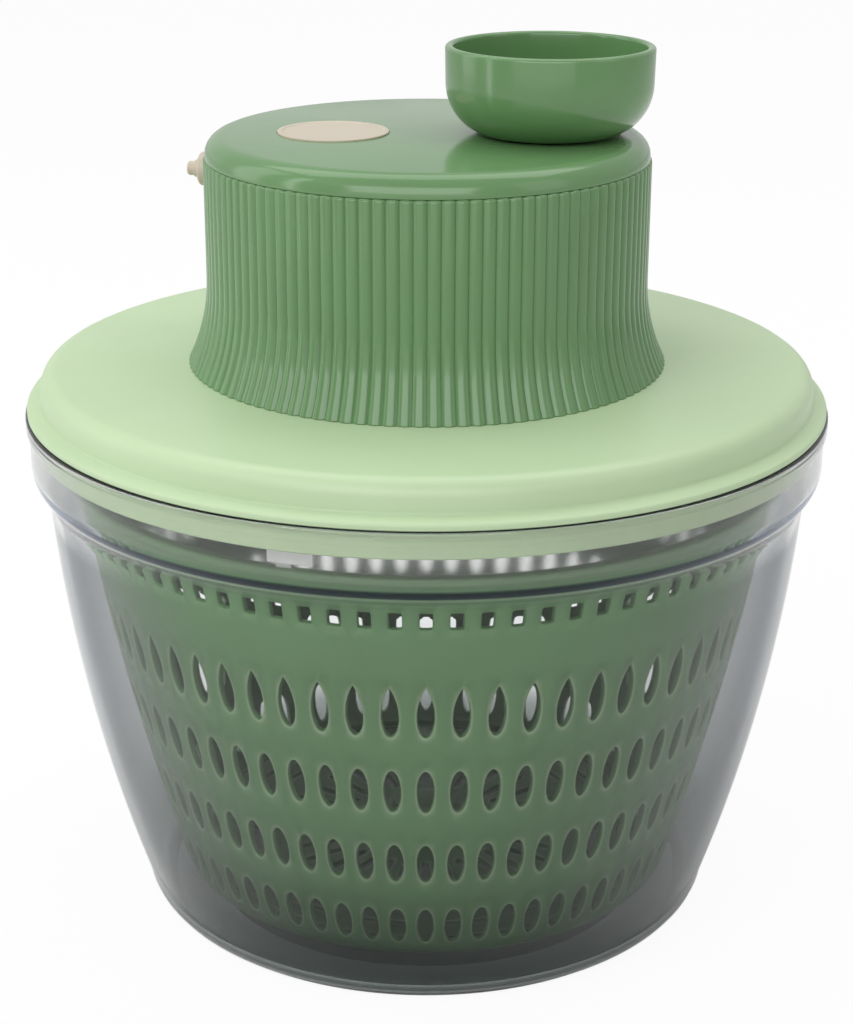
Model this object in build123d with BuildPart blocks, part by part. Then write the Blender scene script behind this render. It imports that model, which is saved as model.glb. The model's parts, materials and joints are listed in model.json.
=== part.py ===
from build123d import *
import os
from math import acos, asin, cos, degrees, pi, radians, sin, sqrt, tan

# Salad spinner: clear bowl, perforated basket, and a lid with a crank-driven gear train.
# Millimetres, +Z up. The origin is the centre of the bowl's base, the front is towards -Y
# and the crank knob stands towards +X.

# Fits and overshoot of cuts
screw_fit = 0.03
press_fit = 0.03
running_fit = 0.05
running_gap = 0.3
drop_gap = 0.3
tooth_backlash = 0.16
cut_over = 1.0

# Bowl
bowl_height = 157.5
bowl_rim_r = 120.0
bowl_foot_r = 89.5
bowl_wall = 2.4
bowl_floor = 3.0
bowl_corner_r = 8.0
bowl_body_sagitta = 3.8
rim_bead = 1.0
rim_bead_height = 4.0
rim_round = 0.8
collar_height = 15.0
step_depth = 4.7
step_height = 11.0
base_recess_inset = 13.5
base_recess_depth = 1.0
spigot_r = 5.0
spigot_short = 0.8
spigot_root_r = 9.0

# Basket
basket_top_gap = 5.9
basket_low_gap = 9.6
basket_wall = 2.0
basket_drop = 17.0
basket_clear_floor = 7.5
basket_corner_r = 4.0
basket_bulge = 2.6
basket_bead = 1.6
basket_bead_height = 2.5
basket_hub_r = 12.0
basket_hub_height = 11.0
basket_hub_below = 1.7
oval_count = 64
oval_width = 4.8
oval_heights = (16.0, 14.2, 13.4, 12.8)
leaf_waist = 0.42
first_row_drop = 42.3
last_row_rise = 11.7
row_shares = (0, 0.349, 0.687, 1)
square_count = 80
square_width = 3.6
square_height = 5.6
square_drop = 13.2
radial_slot_width = 3.0
radial_slot_length = 20.0
radial_slot_gap = 14.0
radial_slot_count = 32
ring_slot_rows = 3
ring_slot_gap = 6.5
ring_slot_pitch = 8.0
ring_slot_width = 2.0
spoke_count = 16
spoke_width = 5.0

# Basket bearing
bearing_r = 8.0
bearing_flange_r = 11.0
bearing_flange_height = 1.5
bearing_neck_r = 7.0
retainer_r = 10.5
retainer_height = 1.5
retainer_round = 0.5

# Lid
lid_rest_gap = 0.2
lid_flange_inset = 0.6
lid_flange_edge = 1.8
lid_disc_inset = 4.6
lid_disc_draft = 0.6
lid_shoulder_height = 3.4
lid_height = 12.3
lid_edge_r = 5.0
lid_wall = 2.4
skirt_gap = 0.4
skirt_wall = 2.2
skirt_depth = 8.4
lid_hub_r = 11.0
lid_hub_depth = 9.5

# Gear train
gear_module = 1.5
addendum = 1.0
dedendum = 1.25
pressure_angle = radians(20)
ring_teeth = 72
idler_teeth = 27
sun_teeth = 18
idler_count = 3
idler_start_angle = 90.0
gear_face = 5.6
ring_wall = 2.925
ring_height = 11.3
ring_web_thickness = 2.2
ring_web_edge = 4.0
ring_screw_inset = 3.0
ring_screw_count = 4
ring_boss_r = 3.4
boss_start_angle = 45.0

# Gear housing
housing_height = 60.9
housing_flare_height = 25.7
housing_flare_r = 57.0
housing_wall = 2.8
brake_space = 3.2
lip_hook = 1.8
lip_thickness = 2.6
lip_sink = 0.5
lip_seat_inset = 4.1
rib_count = 108
groove_depth = 0.5
groove_width = 1.6
groove_mouth = 0.3
housing_boss_r = 4.0
housing_boss_inset = 2.2
housing_boss_height = 24.0
housing_screw_count = 4

# Gear carrier
carrier_margin = 9.75
carrier_thickness = 3.0
carrier_leg_r = 5.5
carrier_leg_inset = 10.0
carrier_hub_r = 10.5
carrier_gap = 7.0
idler_boss_r = 6.5
idler_pin_r = 3.0
idler_pin_below = 3.0
clip_r = 5.2
clip_thickness = 0.8

# Drive shaft and drive plate
shaft_r = 5.0
shaft_hex_r = 4.5
bush_r = 7.5
bush_flange_r = 9.3
bush_flange_height = 1.7
plate_drop = 3.0
plate_hub_r = 12.0
plate_hub_drop = 1.5
plate_hub_height = 9.5
plate_arm_count = 3
plate_arm_angle = 250.5
plate_arm_width = 14.0
plate_arm_thickness = 3.0
plate_rib_width = 2.4
plate_rib_depth = 4.0
tab_width = 13.0
tab_thickness = 3.6
tab_inset = 1.0
tab_gap = 1.4
tooth_width = 4.4
tooth_offset = 2.3
tooth_depth = 2.0
tooth_clearance = 0.6

# Crank cap
cap_height = 6.4
cap_edge_r = 5.5
cap_wall = 2.4
cap_top_thickness = 2.6
cap_gap = 0.4
cap_neck_wall = 2.4
cap_rib_wall = 1.6
cap_rib_inset = 2.6

# Medallion insert
medallion_r = 16.3
medallion_margin = 21.1
medallion_thickness = 1.5
medallion_recess = 1.0
medallion_rim = 1.7
medallion_dish_depth = 0.25
medallion_fit = 0.15
medallion_round = 0.3

# Knob
knob_overhang = 0.7
knob_lift = 0.6
knob_height = 24.7
knob_base_r = 21.0
knob_shoulder_r = 30.1
knob_rim_r = 30.3
knob_shoulder_height = 14.0
knob_wall = 2.4
knob_floor = 4.0
knob_rim_round = 1.0
pin_shank_r = 4.0
pin_journal_r = 5.0
pin_collar_r = 7.0
pin_head_r = 6.0
pin_head_height = 2.0
pin_boss_r = 8.0
washer_r = 8.0
washer_thickness = 1.2

# Brake button
brake_angle = 168.0
brake_drop = 7.2
brake_boss_r = 5.6
brake_boss_stand = 0.5
bezel_r = 5.0
bezel_stand = 3.6
bezel_neck_r = 3.4
bezel_pocket_r = 2.9
bezel_floor = 1.8
bezel_recess = 0.2
bezel_round = 1.0
button_r = 2.6
button_tip_r = 2.1
button_stand = 3.8
button_tip_length = 2.2
button_stem_r = 1.5
spring_length = 3.0
spring_wire_r = 0.25
spring_turns = 2.5
shoe_r = 3.0
shoe_thickness = 1.4

# Screws
screw_r = 1.5
screw_length = 12.0
short_screw_length = 7.5
screw_tip_gap = 0.5
screw_head_r = 2.3
screw_head_height = 2.0
wide_head_r = 5.4
wide_head_height = 2.2

# Radii that follow from the sizes above
bowl_collar_r = bowl_rim_r - rim_bead
bowl_body_r = bowl_collar_r - step_depth
basket_top_r = bowl_body_r - bowl_wall - basket_top_gap
basket_low_r = bowl_foot_r - bowl_wall - basket_low_gap
lid_flange_r = bowl_rim_r - lid_flange_inset
lid_disc_r = lid_flange_r - lid_disc_inset
skirt_r = bowl_collar_r - bowl_wall - skirt_gap
ring_pitch_r = gear_module * ring_teeth / 2
ring_tip_r = ring_pitch_r - addendum * gear_module
ring_root_r = ring_pitch_r + dedendum * gear_module
ring_outer_r = ring_root_r + ring_wall
ring_screw_ring = ring_tip_r - ring_screw_inset
idler_ring = gear_module * (sun_teeth + idler_teeth) / 2
lip_bore_r = ring_outer_r - lip_hook
housing_bore_r = ring_outer_r + brake_space
housing_top_r = housing_bore_r + housing_wall + groove_depth
housing_boss_ring = housing_bore_r - housing_boss_inset
carrier_r = idler_ring + idler_boss_r + carrier_margin
carrier_leg_ring = carrier_r - carrier_leg_inset
carrier_leg_start = idler_start_angle + 180 / idler_count
cap_r = housing_top_r - groove_depth
knob_place = cap_r + knob_overhang - knob_rim_r
medallion_place = medallion_r + medallion_margin - cap_r
tab_outer_r = basket_top_r + basket_bead - tab_inset
tooth_outer_r = basket_top_r - tooth_clearance
tooth_thickness = tooth_outer_r - tab_outer_r + tab_thickness

# Heights that follow from the sizes above
rim_z = bowl_height
basket_top_z = rim_z - basket_drop
basket_floor_z = bowl_floor + basket_clear_floor
basket_hub_low_z = basket_floor_z - basket_hub_below
basket_hub_top_z = basket_hub_low_z + basket_hub_height
bearing_flange_z = basket_hub_low_z - running_gap
bearing_low_z = bearing_flange_z - bearing_flange_height
bearing_neck_z = basket_hub_top_z + running_gap
spigot_top_z = basket_hub_top_z - spigot_short
lid_top_z = rim_z + lid_height
lid_under_z = lid_top_z - lid_wall
lid_hub_z = lid_under_z - lid_hub_depth
housing_top_z = lid_top_z + housing_height
flare_top_z = lid_top_z + housing_flare_height
lip_top_z = housing_top_z - lip_sink
lip_low_z = lip_top_z - lip_thickness
cap_top_z = housing_top_z + cap_height
cap_under_z = cap_top_z - cap_top_thickness
ring_top_z = lip_low_z - running_gap
pin_boss_z = ring_top_z + running_gap + pin_head_height
gear_z = ring_top_z - ring_height
gear_top_z = gear_z + gear_face
clip_z = gear_top_z + running_gap
carrier_top_z = gear_z - carrier_gap
carrier_low_z = carrier_top_z - carrier_thickness
bush_top_z = gear_z - running_gap
plate_top_z = rim_z - plate_drop
plate_hub_top_z = rim_z - plate_hub_drop
plate_hub_low_z = plate_hub_top_z - plate_hub_height
bush_low_z = plate_hub_top_z + running_gap
tab_low_z = basket_top_z + tab_gap
knob_low_z = cap_top_z + knob_lift
knob_floor_z = knob_low_z + knob_floor
knob_top_z = knob_low_z + knob_height
pin_top_z = knob_floor_z + running_gap
brake_z = housing_top_z - brake_drop

# Distances along the brake button's axis, from the crank's axis
brake_seat = housing_top_r + brake_boss_stand
bezel_inner = housing_bore_r + bezel_recess
bezel_pocket = bezel_inner + bezel_floor
bezel_outer = brake_seat + bezel_stand
button_low = bezel_pocket + spring_length
button_end = bezel_outer + button_stand
shoe_back = bezel_inner - running_gap


def basket_r(z):
    """Outer radius of the basket's swelling wall at height z."""
    run = basket_top_r - basket_low_r
    rise = basket_top_z - basket_floor_z
    chord = sqrt(run**2 + rise**2)
    arc_r = chord**2 / (8 * basket_bulge) + basket_bulge / 2
    centre_r = (basket_low_r + basket_top_r) / 2 - (arc_r - basket_bulge) * rise / chord
    centre_z = (basket_floor_z + basket_top_z) / 2 + (arc_r - basket_bulge) * run / chord
    return centre_r + sqrt(arc_r**2 - (z - centre_z) ** 2)


def basket_section(inset, low_z):
    """Half section of the basket's body above a height, filled to the axis and drawn in by an inset."""
    middle_z = (low_z + basket_top_z) / 2
    low_point = (basket_r(low_z) - inset, low_z)
    middle_point = (basket_r(middle_z) - inset, middle_z)
    top_point = (basket_top_r - inset, basket_top_z)
    with BuildSketch(Plane.XZ) as section:
        with BuildLine():
            Line((0, low_z), low_point)
            ThreePointArc(low_point, middle_point, top_point)
            Polyline(top_point, (0, basket_top_z), (0, low_z))
        make_face()
    return section.sketch


def leaf_hole(height):
    """Hole with an elliptic foot below its waist and a pointed arch above it."""
    half = oval_width / 2
    foot = height * leaf_waist
    arch = height - foot
    waist_y = foot - height / 2
    arch_r = (half**2 + arch**2) / oval_width
    lean = asin(arch / arch_r) / 2
    arch_x = half - arch_r + arch_r * cos(lean)
    arch_y = waist_y + arch_r * sin(lean)
    with BuildSketch() as hole:
        with BuildLine():
            EllipticalCenterArc((0, waist_y), half, foot, start_angle=180, arc_size=180)
            ThreePointArc((half, waist_y), (arch_x, arch_y), (0, height / 2))
            ThreePointArc((0, height / 2), (-arch_x, arch_y), (-half, waist_y))
        make_face()
    return hole.sketch


def brake_plane(distance):
    """Plane across the brake button's axis, at a distance from the crank's axis."""
    angle = radians(brake_angle)
    outward = Vector(cos(angle), sin(angle), 0)
    return Plane(
        origin=outward * distance + Vector(0, 0, brake_z),
        x_dir=(-sin(angle), cos(angle), 0),
        z_dir=outward,
    )


def bowl_section(inset, low_z, top_z, corner_r):
    """Half section of the bowl's body, filled to the axis and drawn in by an inset."""
    step_z = rim_z - collar_height
    body_z = step_z - step_height
    foot_z = low_z + corner_r
    with BuildSketch(Plane.XZ) as section:
        with BuildLine():
            Line((0, low_z), (bowl_foot_r - inset - corner_r, low_z))
            RadiusArc(
                (bowl_foot_r - inset - corner_r, low_z),
                (bowl_foot_r - inset, foot_z),
                -corner_r,
            )
            SagittaArc(
                (bowl_foot_r - inset, foot_z),
                (bowl_body_r - inset, body_z),
                -bowl_body_sagitta,
            )
            Bezier(
                (bowl_body_r - inset, body_z),
                (bowl_body_r - inset, body_z + step_height / 2),
                (bowl_collar_r - inset, step_z - step_height / 2),
                (bowl_collar_r - inset, step_z),
            )
            Line((bowl_collar_r - inset, step_z), (bowl_collar_r - inset, top_z))
            Line((bowl_collar_r - inset, top_z), (0, top_z))
            Line((0, top_z), (0, low_z))
        make_face()
    return section.sketch


def gear_outline(teeth, tip_r, root_r, tooth_thickness):
    """Flat gear face with involute flanks, one tooth centred on +X."""
    pitch_r = gear_module * teeth / 2
    base_r = pitch_r * cos(pressure_angle)
    start_r = max(base_r, root_r)

    def half_angle(r):
        flank = acos(base_r / r)
        at_pitch = tan(pressure_angle) - pressure_angle
        return tooth_thickness / (2 * pitch_r) + at_pitch - (tan(flank) - flank)

    def flank_point(r, side, at=None):
        angle = side * half_angle(at or r)
        return (r * cos(angle), r * sin(angle))

    middle_r = (start_r + tip_r) / 2
    inner_r = root_r - gear_module / 2
    with BuildSketch() as tooth:
        with BuildLine():
            for side in (1, -1):
                Line(flank_point(inner_r, side, start_r), flank_point(start_r, side))
                ThreePointArc(
                    flank_point(start_r, side),
                    flank_point(middle_r, side),
                    flank_point(tip_r, side),
                )
            ThreePointArc(flank_point(tip_r, 1), (tip_r, 0), flank_point(tip_r, -1))
            Line(flank_point(inner_r, 1, start_r), flank_point(inner_r, -1, start_r))
        make_face()
    with BuildSketch() as gear:
        Circle(root_r)
        with PolarLocations(0, teeth):
            add(tooth.sketch)
    return gear.sketch


def external_gear(teeth):
    """Outline of an outside-toothed gear, thinned for backlash."""
    pitch_r = gear_module * teeth / 2
    thickness = pi * gear_module / 2 - tooth_backlash
    tip_r = pitch_r + addendum * gear_module
    root_r = pitch_r - dedendum * gear_module
    return gear_outline(teeth, tip_r, root_r, thickness)


def pan_screw(length, head_r, head_height):
    """Pan-head screw along -Z, with the underside of its head at the origin."""
    with BuildPart() as screw:
        with BuildSketch():
            Circle(head_r)
        extrude(amount=head_height)
        fillet(screw.edges().group_by(Axis.Z)[-1], head_height / 2)
        with BuildSketch():
            Circle(screw_r)
        extrude(amount=-length)
    return screw.part


# Bowl: collared body of clear plastic with a bearing spigot on its floor
with BuildPart() as bowl:
    revolve(bowl_section(0, 0, rim_z, bowl_corner_r), axis=Axis.Z)
    with BuildSketch(Plane.XZ):
        with Locations((bowl_collar_r - bowl_wall, rim_z - rim_bead_height)):
            Rectangle(
                bowl_rim_r - bowl_collar_r + bowl_wall,
                rim_bead_height,
                align=(Align.MIN, Align.MIN),
            )
    revolve(axis=Axis.Z)
    inside = bowl_section(bowl_wall, bowl_floor, rim_z + cut_over, bowl_corner_r - bowl_wall)
    revolve(inside, axis=Axis.Z, mode=Mode.SUBTRACT)
    fillet(bowl.edges().group_by(Axis.Z)[-1], rim_round)
    with BuildSketch():
        Circle(bowl_foot_r - bowl_corner_r - base_recess_inset)
    extrude(amount=base_recess_depth, mode=Mode.SUBTRACT)
    with BuildSketch(Plane.XZ):
        with BuildLine():
            Polyline(
                (0, bowl_floor),
                (spigot_root_r, bowl_floor),
                (spigot_r, bearing_low_z - running_gap),
                (spigot_r, spigot_top_z),
                (0, spigot_top_z),
                close=True,
            )
        make_face()
    revolve(axis=Axis.Z)

# Basket: swelling tub with a row of leaf holes, three of ovals, a row of squares and a slotted floor
with BuildPart() as basket:
    revolve(basket_section(0, basket_floor_z), axis=Axis.Z)
    fillet(basket.edges().group_by(Axis.Z)[0], basket_corner_r)
    with BuildSketch(Plane.XZ):
        with Locations((basket_top_r - basket_wall / 2, basket_top_z)):
            Rectangle(
                basket_bead + basket_wall / 2,
                basket_bead_height,
                align=(Align.MIN, Align.MAX),
            )
    revolve(axis=Axis.Z)
    revolve(basket_section(basket_wall, basket_floor_z + basket_wall), axis=Axis.Z, mode=Mode.SUBTRACT)
    with BuildSketch(Plane.XY.offset(basket_hub_low_z)):
        Circle(basket_hub_r)
    extrude(amount=basket_hub_height)
    with BuildSketch(Plane.XY.offset(basket_hub_low_z)):
        Circle(bearing_r + running_fit)
    extrude(amount=basket_hub_height, mode=Mode.SUBTRACT)

    cutter_reach = 3 * basket_wall
    first_row_z = basket_top_z - first_row_drop
    last_row_z = basket_floor_z + last_row_rise
    for share, height in zip(row_shares, oval_heights):
        oval_z = first_row_z + share * (last_row_z - first_row_z)
        wall_plane = Plane(origin=(basket_r(oval_z), 0, oval_z), x_dir=(0, 1, 0), z_dir=(1, 0, 0))
        with BuildSketch(wall_plane, mode=Mode.PRIVATE) as oval:
            if share == row_shares[0]:
                add(leaf_hole(height))
            else:
                Ellipse(oval_width / 2, height / 2)
        cutter = extrude(oval.sketch, amount=cutter_reach, both=True, mode=Mode.PRIVATE)
        with PolarLocations(0, oval_count):
            add(cutter, mode=Mode.SUBTRACT)

    square_z = basket_top_z - square_drop
    wall_plane = Plane(origin=(basket_r(square_z), 0, square_z), x_dir=(0, 1, 0), z_dir=(1, 0, 0))
    with BuildSketch(wall_plane, mode=Mode.PRIVATE) as square:
        Rectangle(square_width, square_height)
    cutter = extrude(square.sketch, amount=cutter_reach, both=True, mode=Mode.PRIVATE)
    with PolarLocations(0, square_count):
        add(cutter, mode=Mode.SUBTRACT)

    with BuildSketch(Plane.XY.offset(basket_floor_z)):
        with PolarLocations(basket_hub_r + radial_slot_gap + radial_slot_length / 2, radial_slot_count):
            SlotOverall(radial_slot_length, radial_slot_width)
    extrude(amount=basket_wall, mode=Mode.SUBTRACT)
    with BuildSketch(Plane.XY.offset(basket_floor_z)):
        for row in range(ring_slot_rows):
            slot_r = basket_low_r - ring_slot_gap - row * ring_slot_pitch
            Circle(slot_r + ring_slot_width / 2)
            Circle(slot_r - ring_slot_width / 2, mode=Mode.SUBTRACT)
        with PolarLocations(0, spoke_count):
            Rectangle(basket_low_r, spoke_width, align=(Align.MIN, Align.CENTER), mode=Mode.SUBTRACT)
    extrude(amount=basket_wall, mode=Mode.SUBTRACT)

    for index in range(plate_arm_count):
        arm = Plane.XY.rotated((0, 0, plate_arm_angle + 360 * index / plate_arm_count))
        with BuildSketch(arm.offset(basket_top_z)):
            with Locations((basket_top_r, -tooth_offset)):
                Rectangle(2 * basket_wall, tooth_width + 2 * tooth_clearance, align=(Align.MAX, Align.CENTER))
        extrude(amount=-(tooth_depth + drop_gap), mode=Mode.SUBTRACT)

# Basket bearing: flanged bush that drops over the spigot and carries the basket's hub
with BuildPart() as basket_bearing:
    with BuildSketch(Plane.XY.offset(bearing_low_z)):
        Circle(bearing_flange_r)
    extrude(amount=bearing_flange_height)
    with BuildSketch(Plane.XY.offset(bearing_flange_z)):
        Circle(bearing_r)
    extrude(amount=bearing_neck_z - bearing_flange_z)
    with BuildSketch(Plane.XY.offset(bearing_neck_z)):
        Circle(bearing_neck_r)
    extrude(amount=retainer_height)
    with BuildSketch(Plane.XY.offset(bearing_low_z)):
        Circle(spigot_r + drop_gap)
    extrude(amount=spigot_top_z + drop_gap - bearing_low_z, mode=Mode.SUBTRACT)

# Bearing retainer: ring pressed on the bearing's neck, above the basket's hub
with BuildPart() as bearing_retainer:
    with BuildSketch(Plane.XY.offset(bearing_neck_z)):
        Circle(retainer_r)
        Circle(bearing_neck_r + press_fit, mode=Mode.SUBTRACT)
    extrude(amount=retainer_height)
    fillet(bearing_retainer.edges().group_by(Axis.Z)[-1].sort_by(SortBy.RADIUS)[-1], retainer_round)

# Lid: raised disc with a resting flange, and a skirt that centres it in the bowl
with BuildPart() as lid:
    flange_z = rim_z + lid_rest_gap
    with BuildSketch(Plane.XZ) as lid_section:
        with BuildLine():
            Polyline(
                (0, lid_top_z),
                (lid_disc_r, lid_top_z),
                (lid_disc_r + lid_disc_draft, rim_z + lid_shoulder_height),
                (lid_flange_r, flange_z + lid_flange_edge),
                (lid_flange_r, flange_z),
                (skirt_r, flange_z),
                (skirt_r, rim_z - skirt_depth),
                (skirt_r - skirt_wall, rim_z - skirt_depth),
                (skirt_r - skirt_wall, rim_z),
                (lid_disc_r - lid_wall, rim_z + lid_wall),
                (lid_disc_r - lid_wall, lid_under_z),
                (0, lid_under_z),
                close=True,
            )
        make_face()
        outer_corner = lid_section.vertices().group_by(Axis.Y)[-1].sort_by(Axis.X)[-1]
        fillet(outer_corner, lid_edge_r)
        inner_corner = lid_section.vertices().filter_by_position(Axis.Y, lid_under_z, lid_under_z)
        fillet(inner_corner.sort_by(Axis.X)[-1], lid_edge_r - lid_wall)
    revolve(axis=Axis.Z)
    with BuildSketch(Plane.XY.offset(lid_hub_z)):
        Circle(lid_hub_r)
    extrude(amount=lid_hub_depth)
    with BuildSketch(Plane.XY.offset(lid_top_z)):
        Circle(bush_r + press_fit)
    extrude(amount=lid_hub_z - lid_top_z, mode=Mode.SUBTRACT)
    with BuildSketch(Plane.XY.offset(lid_top_z)):
        with PolarLocations(carrier_leg_ring, idler_count, carrier_leg_start):
            Circle(screw_r + screw_fit)
        with PolarLocations(housing_boss_ring, housing_screw_count, boss_start_angle):
            Circle(screw_r + screw_fit)
    extrude(amount=-lid_wall, mode=Mode.SUBTRACT)

# Gear housing: ribbed drum that flares to its foot, with an inner lip for the crank
with BuildPart() as groove:
    groove_top_z = housing_top_z + cut_over
    flare_angle = degrees(asin((housing_flare_height + cut_over) / housing_flare_r))
    half_mouth = groove_width / 2 * (1 + groove_mouth / groove_depth)
    with BuildLine(Plane.XZ) as groove_path:
        Line((housing_top_r, groove_top_z), (housing_top_r, flare_top_z))
        CenterArc((housing_top_r + housing_flare_r, flare_top_z), housing_flare_r, 180, flare_angle)
    with BuildSketch(Plane.XY.offset(groove_top_z)):
        with BuildLine():
            Polyline(
                (housing_top_r - groove_depth, 0),
                (housing_top_r + groove_mouth, half_mouth),
                (housing_top_r + groove_mouth, -half_mouth),
                close=True,
            )
        make_face()
    sweep(path=groove_path.line)

with BuildPart() as gear_housing:
    housing_foot_r = (
        housing_top_r + housing_flare_r - sqrt(housing_flare_r**2 - housing_flare_height**2)
    )
    shell = housing_top_r - housing_bore_r
    with BuildSketch(Plane.XZ):
        with BuildLine():
            RadiusArc((housing_foot_r, lid_top_z), (housing_top_r, flare_top_z), housing_flare_r)
            Polyline(
                (housing_top_r, flare_top_z),
                (housing_top_r, housing_top_z),
                (housing_top_r - lip_seat_inset, housing_top_z),
                (housing_top_r - lip_seat_inset, lip_top_z),
                (lip_bore_r, lip_top_z),
                (lip_bore_r, lip_low_z),
                (housing_bore_r, lip_low_z),
                (housing_bore_r, flare_top_z),
            )
            RadiusArc(
                (housing_bore_r, flare_top_z),
                (housing_foot_r - shell, lid_top_z),
                -housing_flare_r,
            )
            Line((housing_foot_r - shell, lid_top_z), (housing_foot_r, lid_top_z))
        make_face()
    revolve(axis=Axis.Z)
    with PolarLocations(0, rib_count):
        add(groove.part, mode=Mode.SUBTRACT)
    with BuildSketch(Plane.XY.offset(lid_top_z)):
        with PolarLocations(housing_boss_ring, housing_screw_count, boss_start_angle):
            Circle(housing_boss_r)
    extrude(amount=housing_boss_height)
    with BuildSketch(Plane.XY.offset(lid_top_z)):
        with PolarLocations(housing_boss_ring, housing_screw_count, boss_start_angle):
            Circle(screw_r + screw_fit)
    extrude(amount=screw_length, mode=Mode.SUBTRACT)
    with BuildSketch(brake_plane(housing_bore_r + housing_wall / 2)):
        Circle(brake_boss_r)
    extrude(amount=brake_seat - housing_bore_r - housing_wall / 2)
    with BuildSketch(brake_plane(housing_bore_r - cut_over)):
        Circle(bezel_neck_r + press_fit)
    extrude(amount=brake_seat - housing_bore_r + 2 * cut_over, mode=Mode.SUBTRACT)

# Gear carrier: plate on legs that holds the idler pins and the shaft's upper bush
with BuildPart() as gear_carrier:
    with BuildSketch(Plane.XY.offset(carrier_low_z)):
        Circle(carrier_r)
    extrude(amount=carrier_thickness)
    with BuildSketch(Plane.XY.offset(lid_top_z)):
        with PolarLocations(carrier_leg_ring, idler_count, carrier_leg_start):
            Circle(carrier_leg_r)
    extrude(amount=carrier_low_z - lid_top_z)
    with BuildSketch(Plane.XY.offset(carrier_top_z)):
        Circle(carrier_hub_r)
    extrude(amount=bush_top_z - bush_flange_height - carrier_top_z)
    with BuildSketch(Plane.XY.offset(carrier_top_z)):
        with PolarLocations(idler_ring, idler_count, idler_start_angle):
            Circle(idler_boss_r)
    extrude(amount=bush_top_z - carrier_top_z)
    with BuildSketch(Plane.XY.offset(carrier_low_z)):
        Circle(bush_r + press_fit)
        with PolarLocations(idler_ring, idler_count, idler_start_angle):
            Circle(idler_pin_r + press_fit)
    extrude(amount=bush_top_z - carrier_low_z, mode=Mode.SUBTRACT)
    with BuildSketch(Plane.XY.offset(lid_top_z)):
        with PolarLocations(carrier_leg_ring, idler_count, carrier_leg_start):
            Circle(screw_r + screw_fit)
    extrude(amount=screw_length, mode=Mode.SUBTRACT)

# Idler pins and the clips that keep the idlers on them
with BuildPart() as idler_pins:
    pin_low_z = carrier_low_z - idler_pin_below
    with BuildSketch(Plane.XY.offset(pin_low_z)):
        with PolarLocations(idler_ring, idler_count, idler_start_angle):
            Circle(idler_pin_r)
    extrude(amount=clip_z + 2 * clip_thickness - pin_low_z)

with BuildPart() as idler_clips:
    with BuildSketch(Plane.XY.offset(clip_z)):
        with PolarLocations(idler_ring, idler_count, idler_start_angle):
            Circle(clip_r)
            Circle(idler_pin_r + press_fit, mode=Mode.SUBTRACT)
    extrude(amount=clip_thickness)

# Idler gears
idler_gears = []
for index in range(idler_count):
    idler_angle = idler_start_angle + 360 * index / idler_count
    idler_plane = Plane(
        origin=(
            idler_ring * cos(radians(idler_angle)),
            idler_ring * sin(radians(idler_angle)),
            gear_z,
        ),
        x_dir=(-cos(radians(idler_angle)), -sin(radians(idler_angle)), 0),
        z_dir=(0, 0, 1),
    )
    with BuildPart() as idler_gear:
        with BuildSketch(idler_plane):
            add(external_gear(idler_teeth))
            Circle(idler_pin_r + running_fit, mode=Mode.SUBTRACT)
        extrude(amount=gear_face)
    idler_gears.append(idler_gear)

# Drive shaft: round journals with a hexagon at each end
with BuildPart() as drive_shaft:
    with BuildSketch(Plane.XY.offset(plate_hub_low_z)):
        RegularPolygon(shaft_hex_r, 6)
    extrude(amount=gear_top_z - plate_hub_low_z)
    with BuildSketch(Plane.XY.offset(plate_hub_top_z)):
        Circle(shaft_r)
    extrude(amount=gear_z - plate_hub_top_z)
    with BuildSketch(Plane.XY.offset(plate_hub_low_z)):
        Circle(screw_r + screw_fit)
    extrude(amount=screw_length, mode=Mode.SUBTRACT)
    with BuildSketch(Plane.XY.offset(gear_top_z)):
        Circle(screw_r + screw_fit)
    extrude(amount=-screw_length, mode=Mode.SUBTRACT)

# Bushes that carry the drive shaft
with BuildPart() as upper_bush:
    with BuildSketch(Plane.XY.offset(carrier_low_z)):
        Circle(bush_r)
    extrude(amount=bush_top_z - carrier_low_z)
    with BuildSketch(Plane.XY.offset(bush_top_z - bush_flange_height)):
        Circle(bush_flange_r)
    extrude(amount=bush_flange_height)
    with BuildSketch(Plane.XY.offset(carrier_low_z)):
        Circle(shaft_r + running_fit)
    extrude(amount=bush_top_z - carrier_low_z, mode=Mode.SUBTRACT)

with BuildPart() as lower_bush:
    with BuildSketch(Plane.XY.offset(bush_low_z)):
        Circle(bush_r)
    extrude(amount=lid_top_z - bush_low_z)
    with BuildSketch(Plane.XY.offset(bush_low_z)):
        Circle(bush_flange_r)
    extrude(amount=lid_hub_z - bush_low_z)
    with BuildSketch(Plane.XY.offset(bush_low_z)):
        Circle(shaft_r + running_fit)
    extrude(amount=lid_top_z - bush_low_z, mode=Mode.SUBTRACT)

# Sun gear on the shaft's upper hexagon, held by a screw
with BuildPart() as sun_gear:
    with BuildSketch(Plane.XY.offset(gear_z)):
        add(external_gear(sun_teeth))
        RegularPolygon(shaft_hex_r + press_fit, 6, mode=Mode.SUBTRACT)
    extrude(amount=gear_face)

with BuildPart() as sun_screw:
    with Locations((0, 0, gear_top_z)):
        add(pan_screw(screw_length, wide_head_r, wide_head_height))

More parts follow.
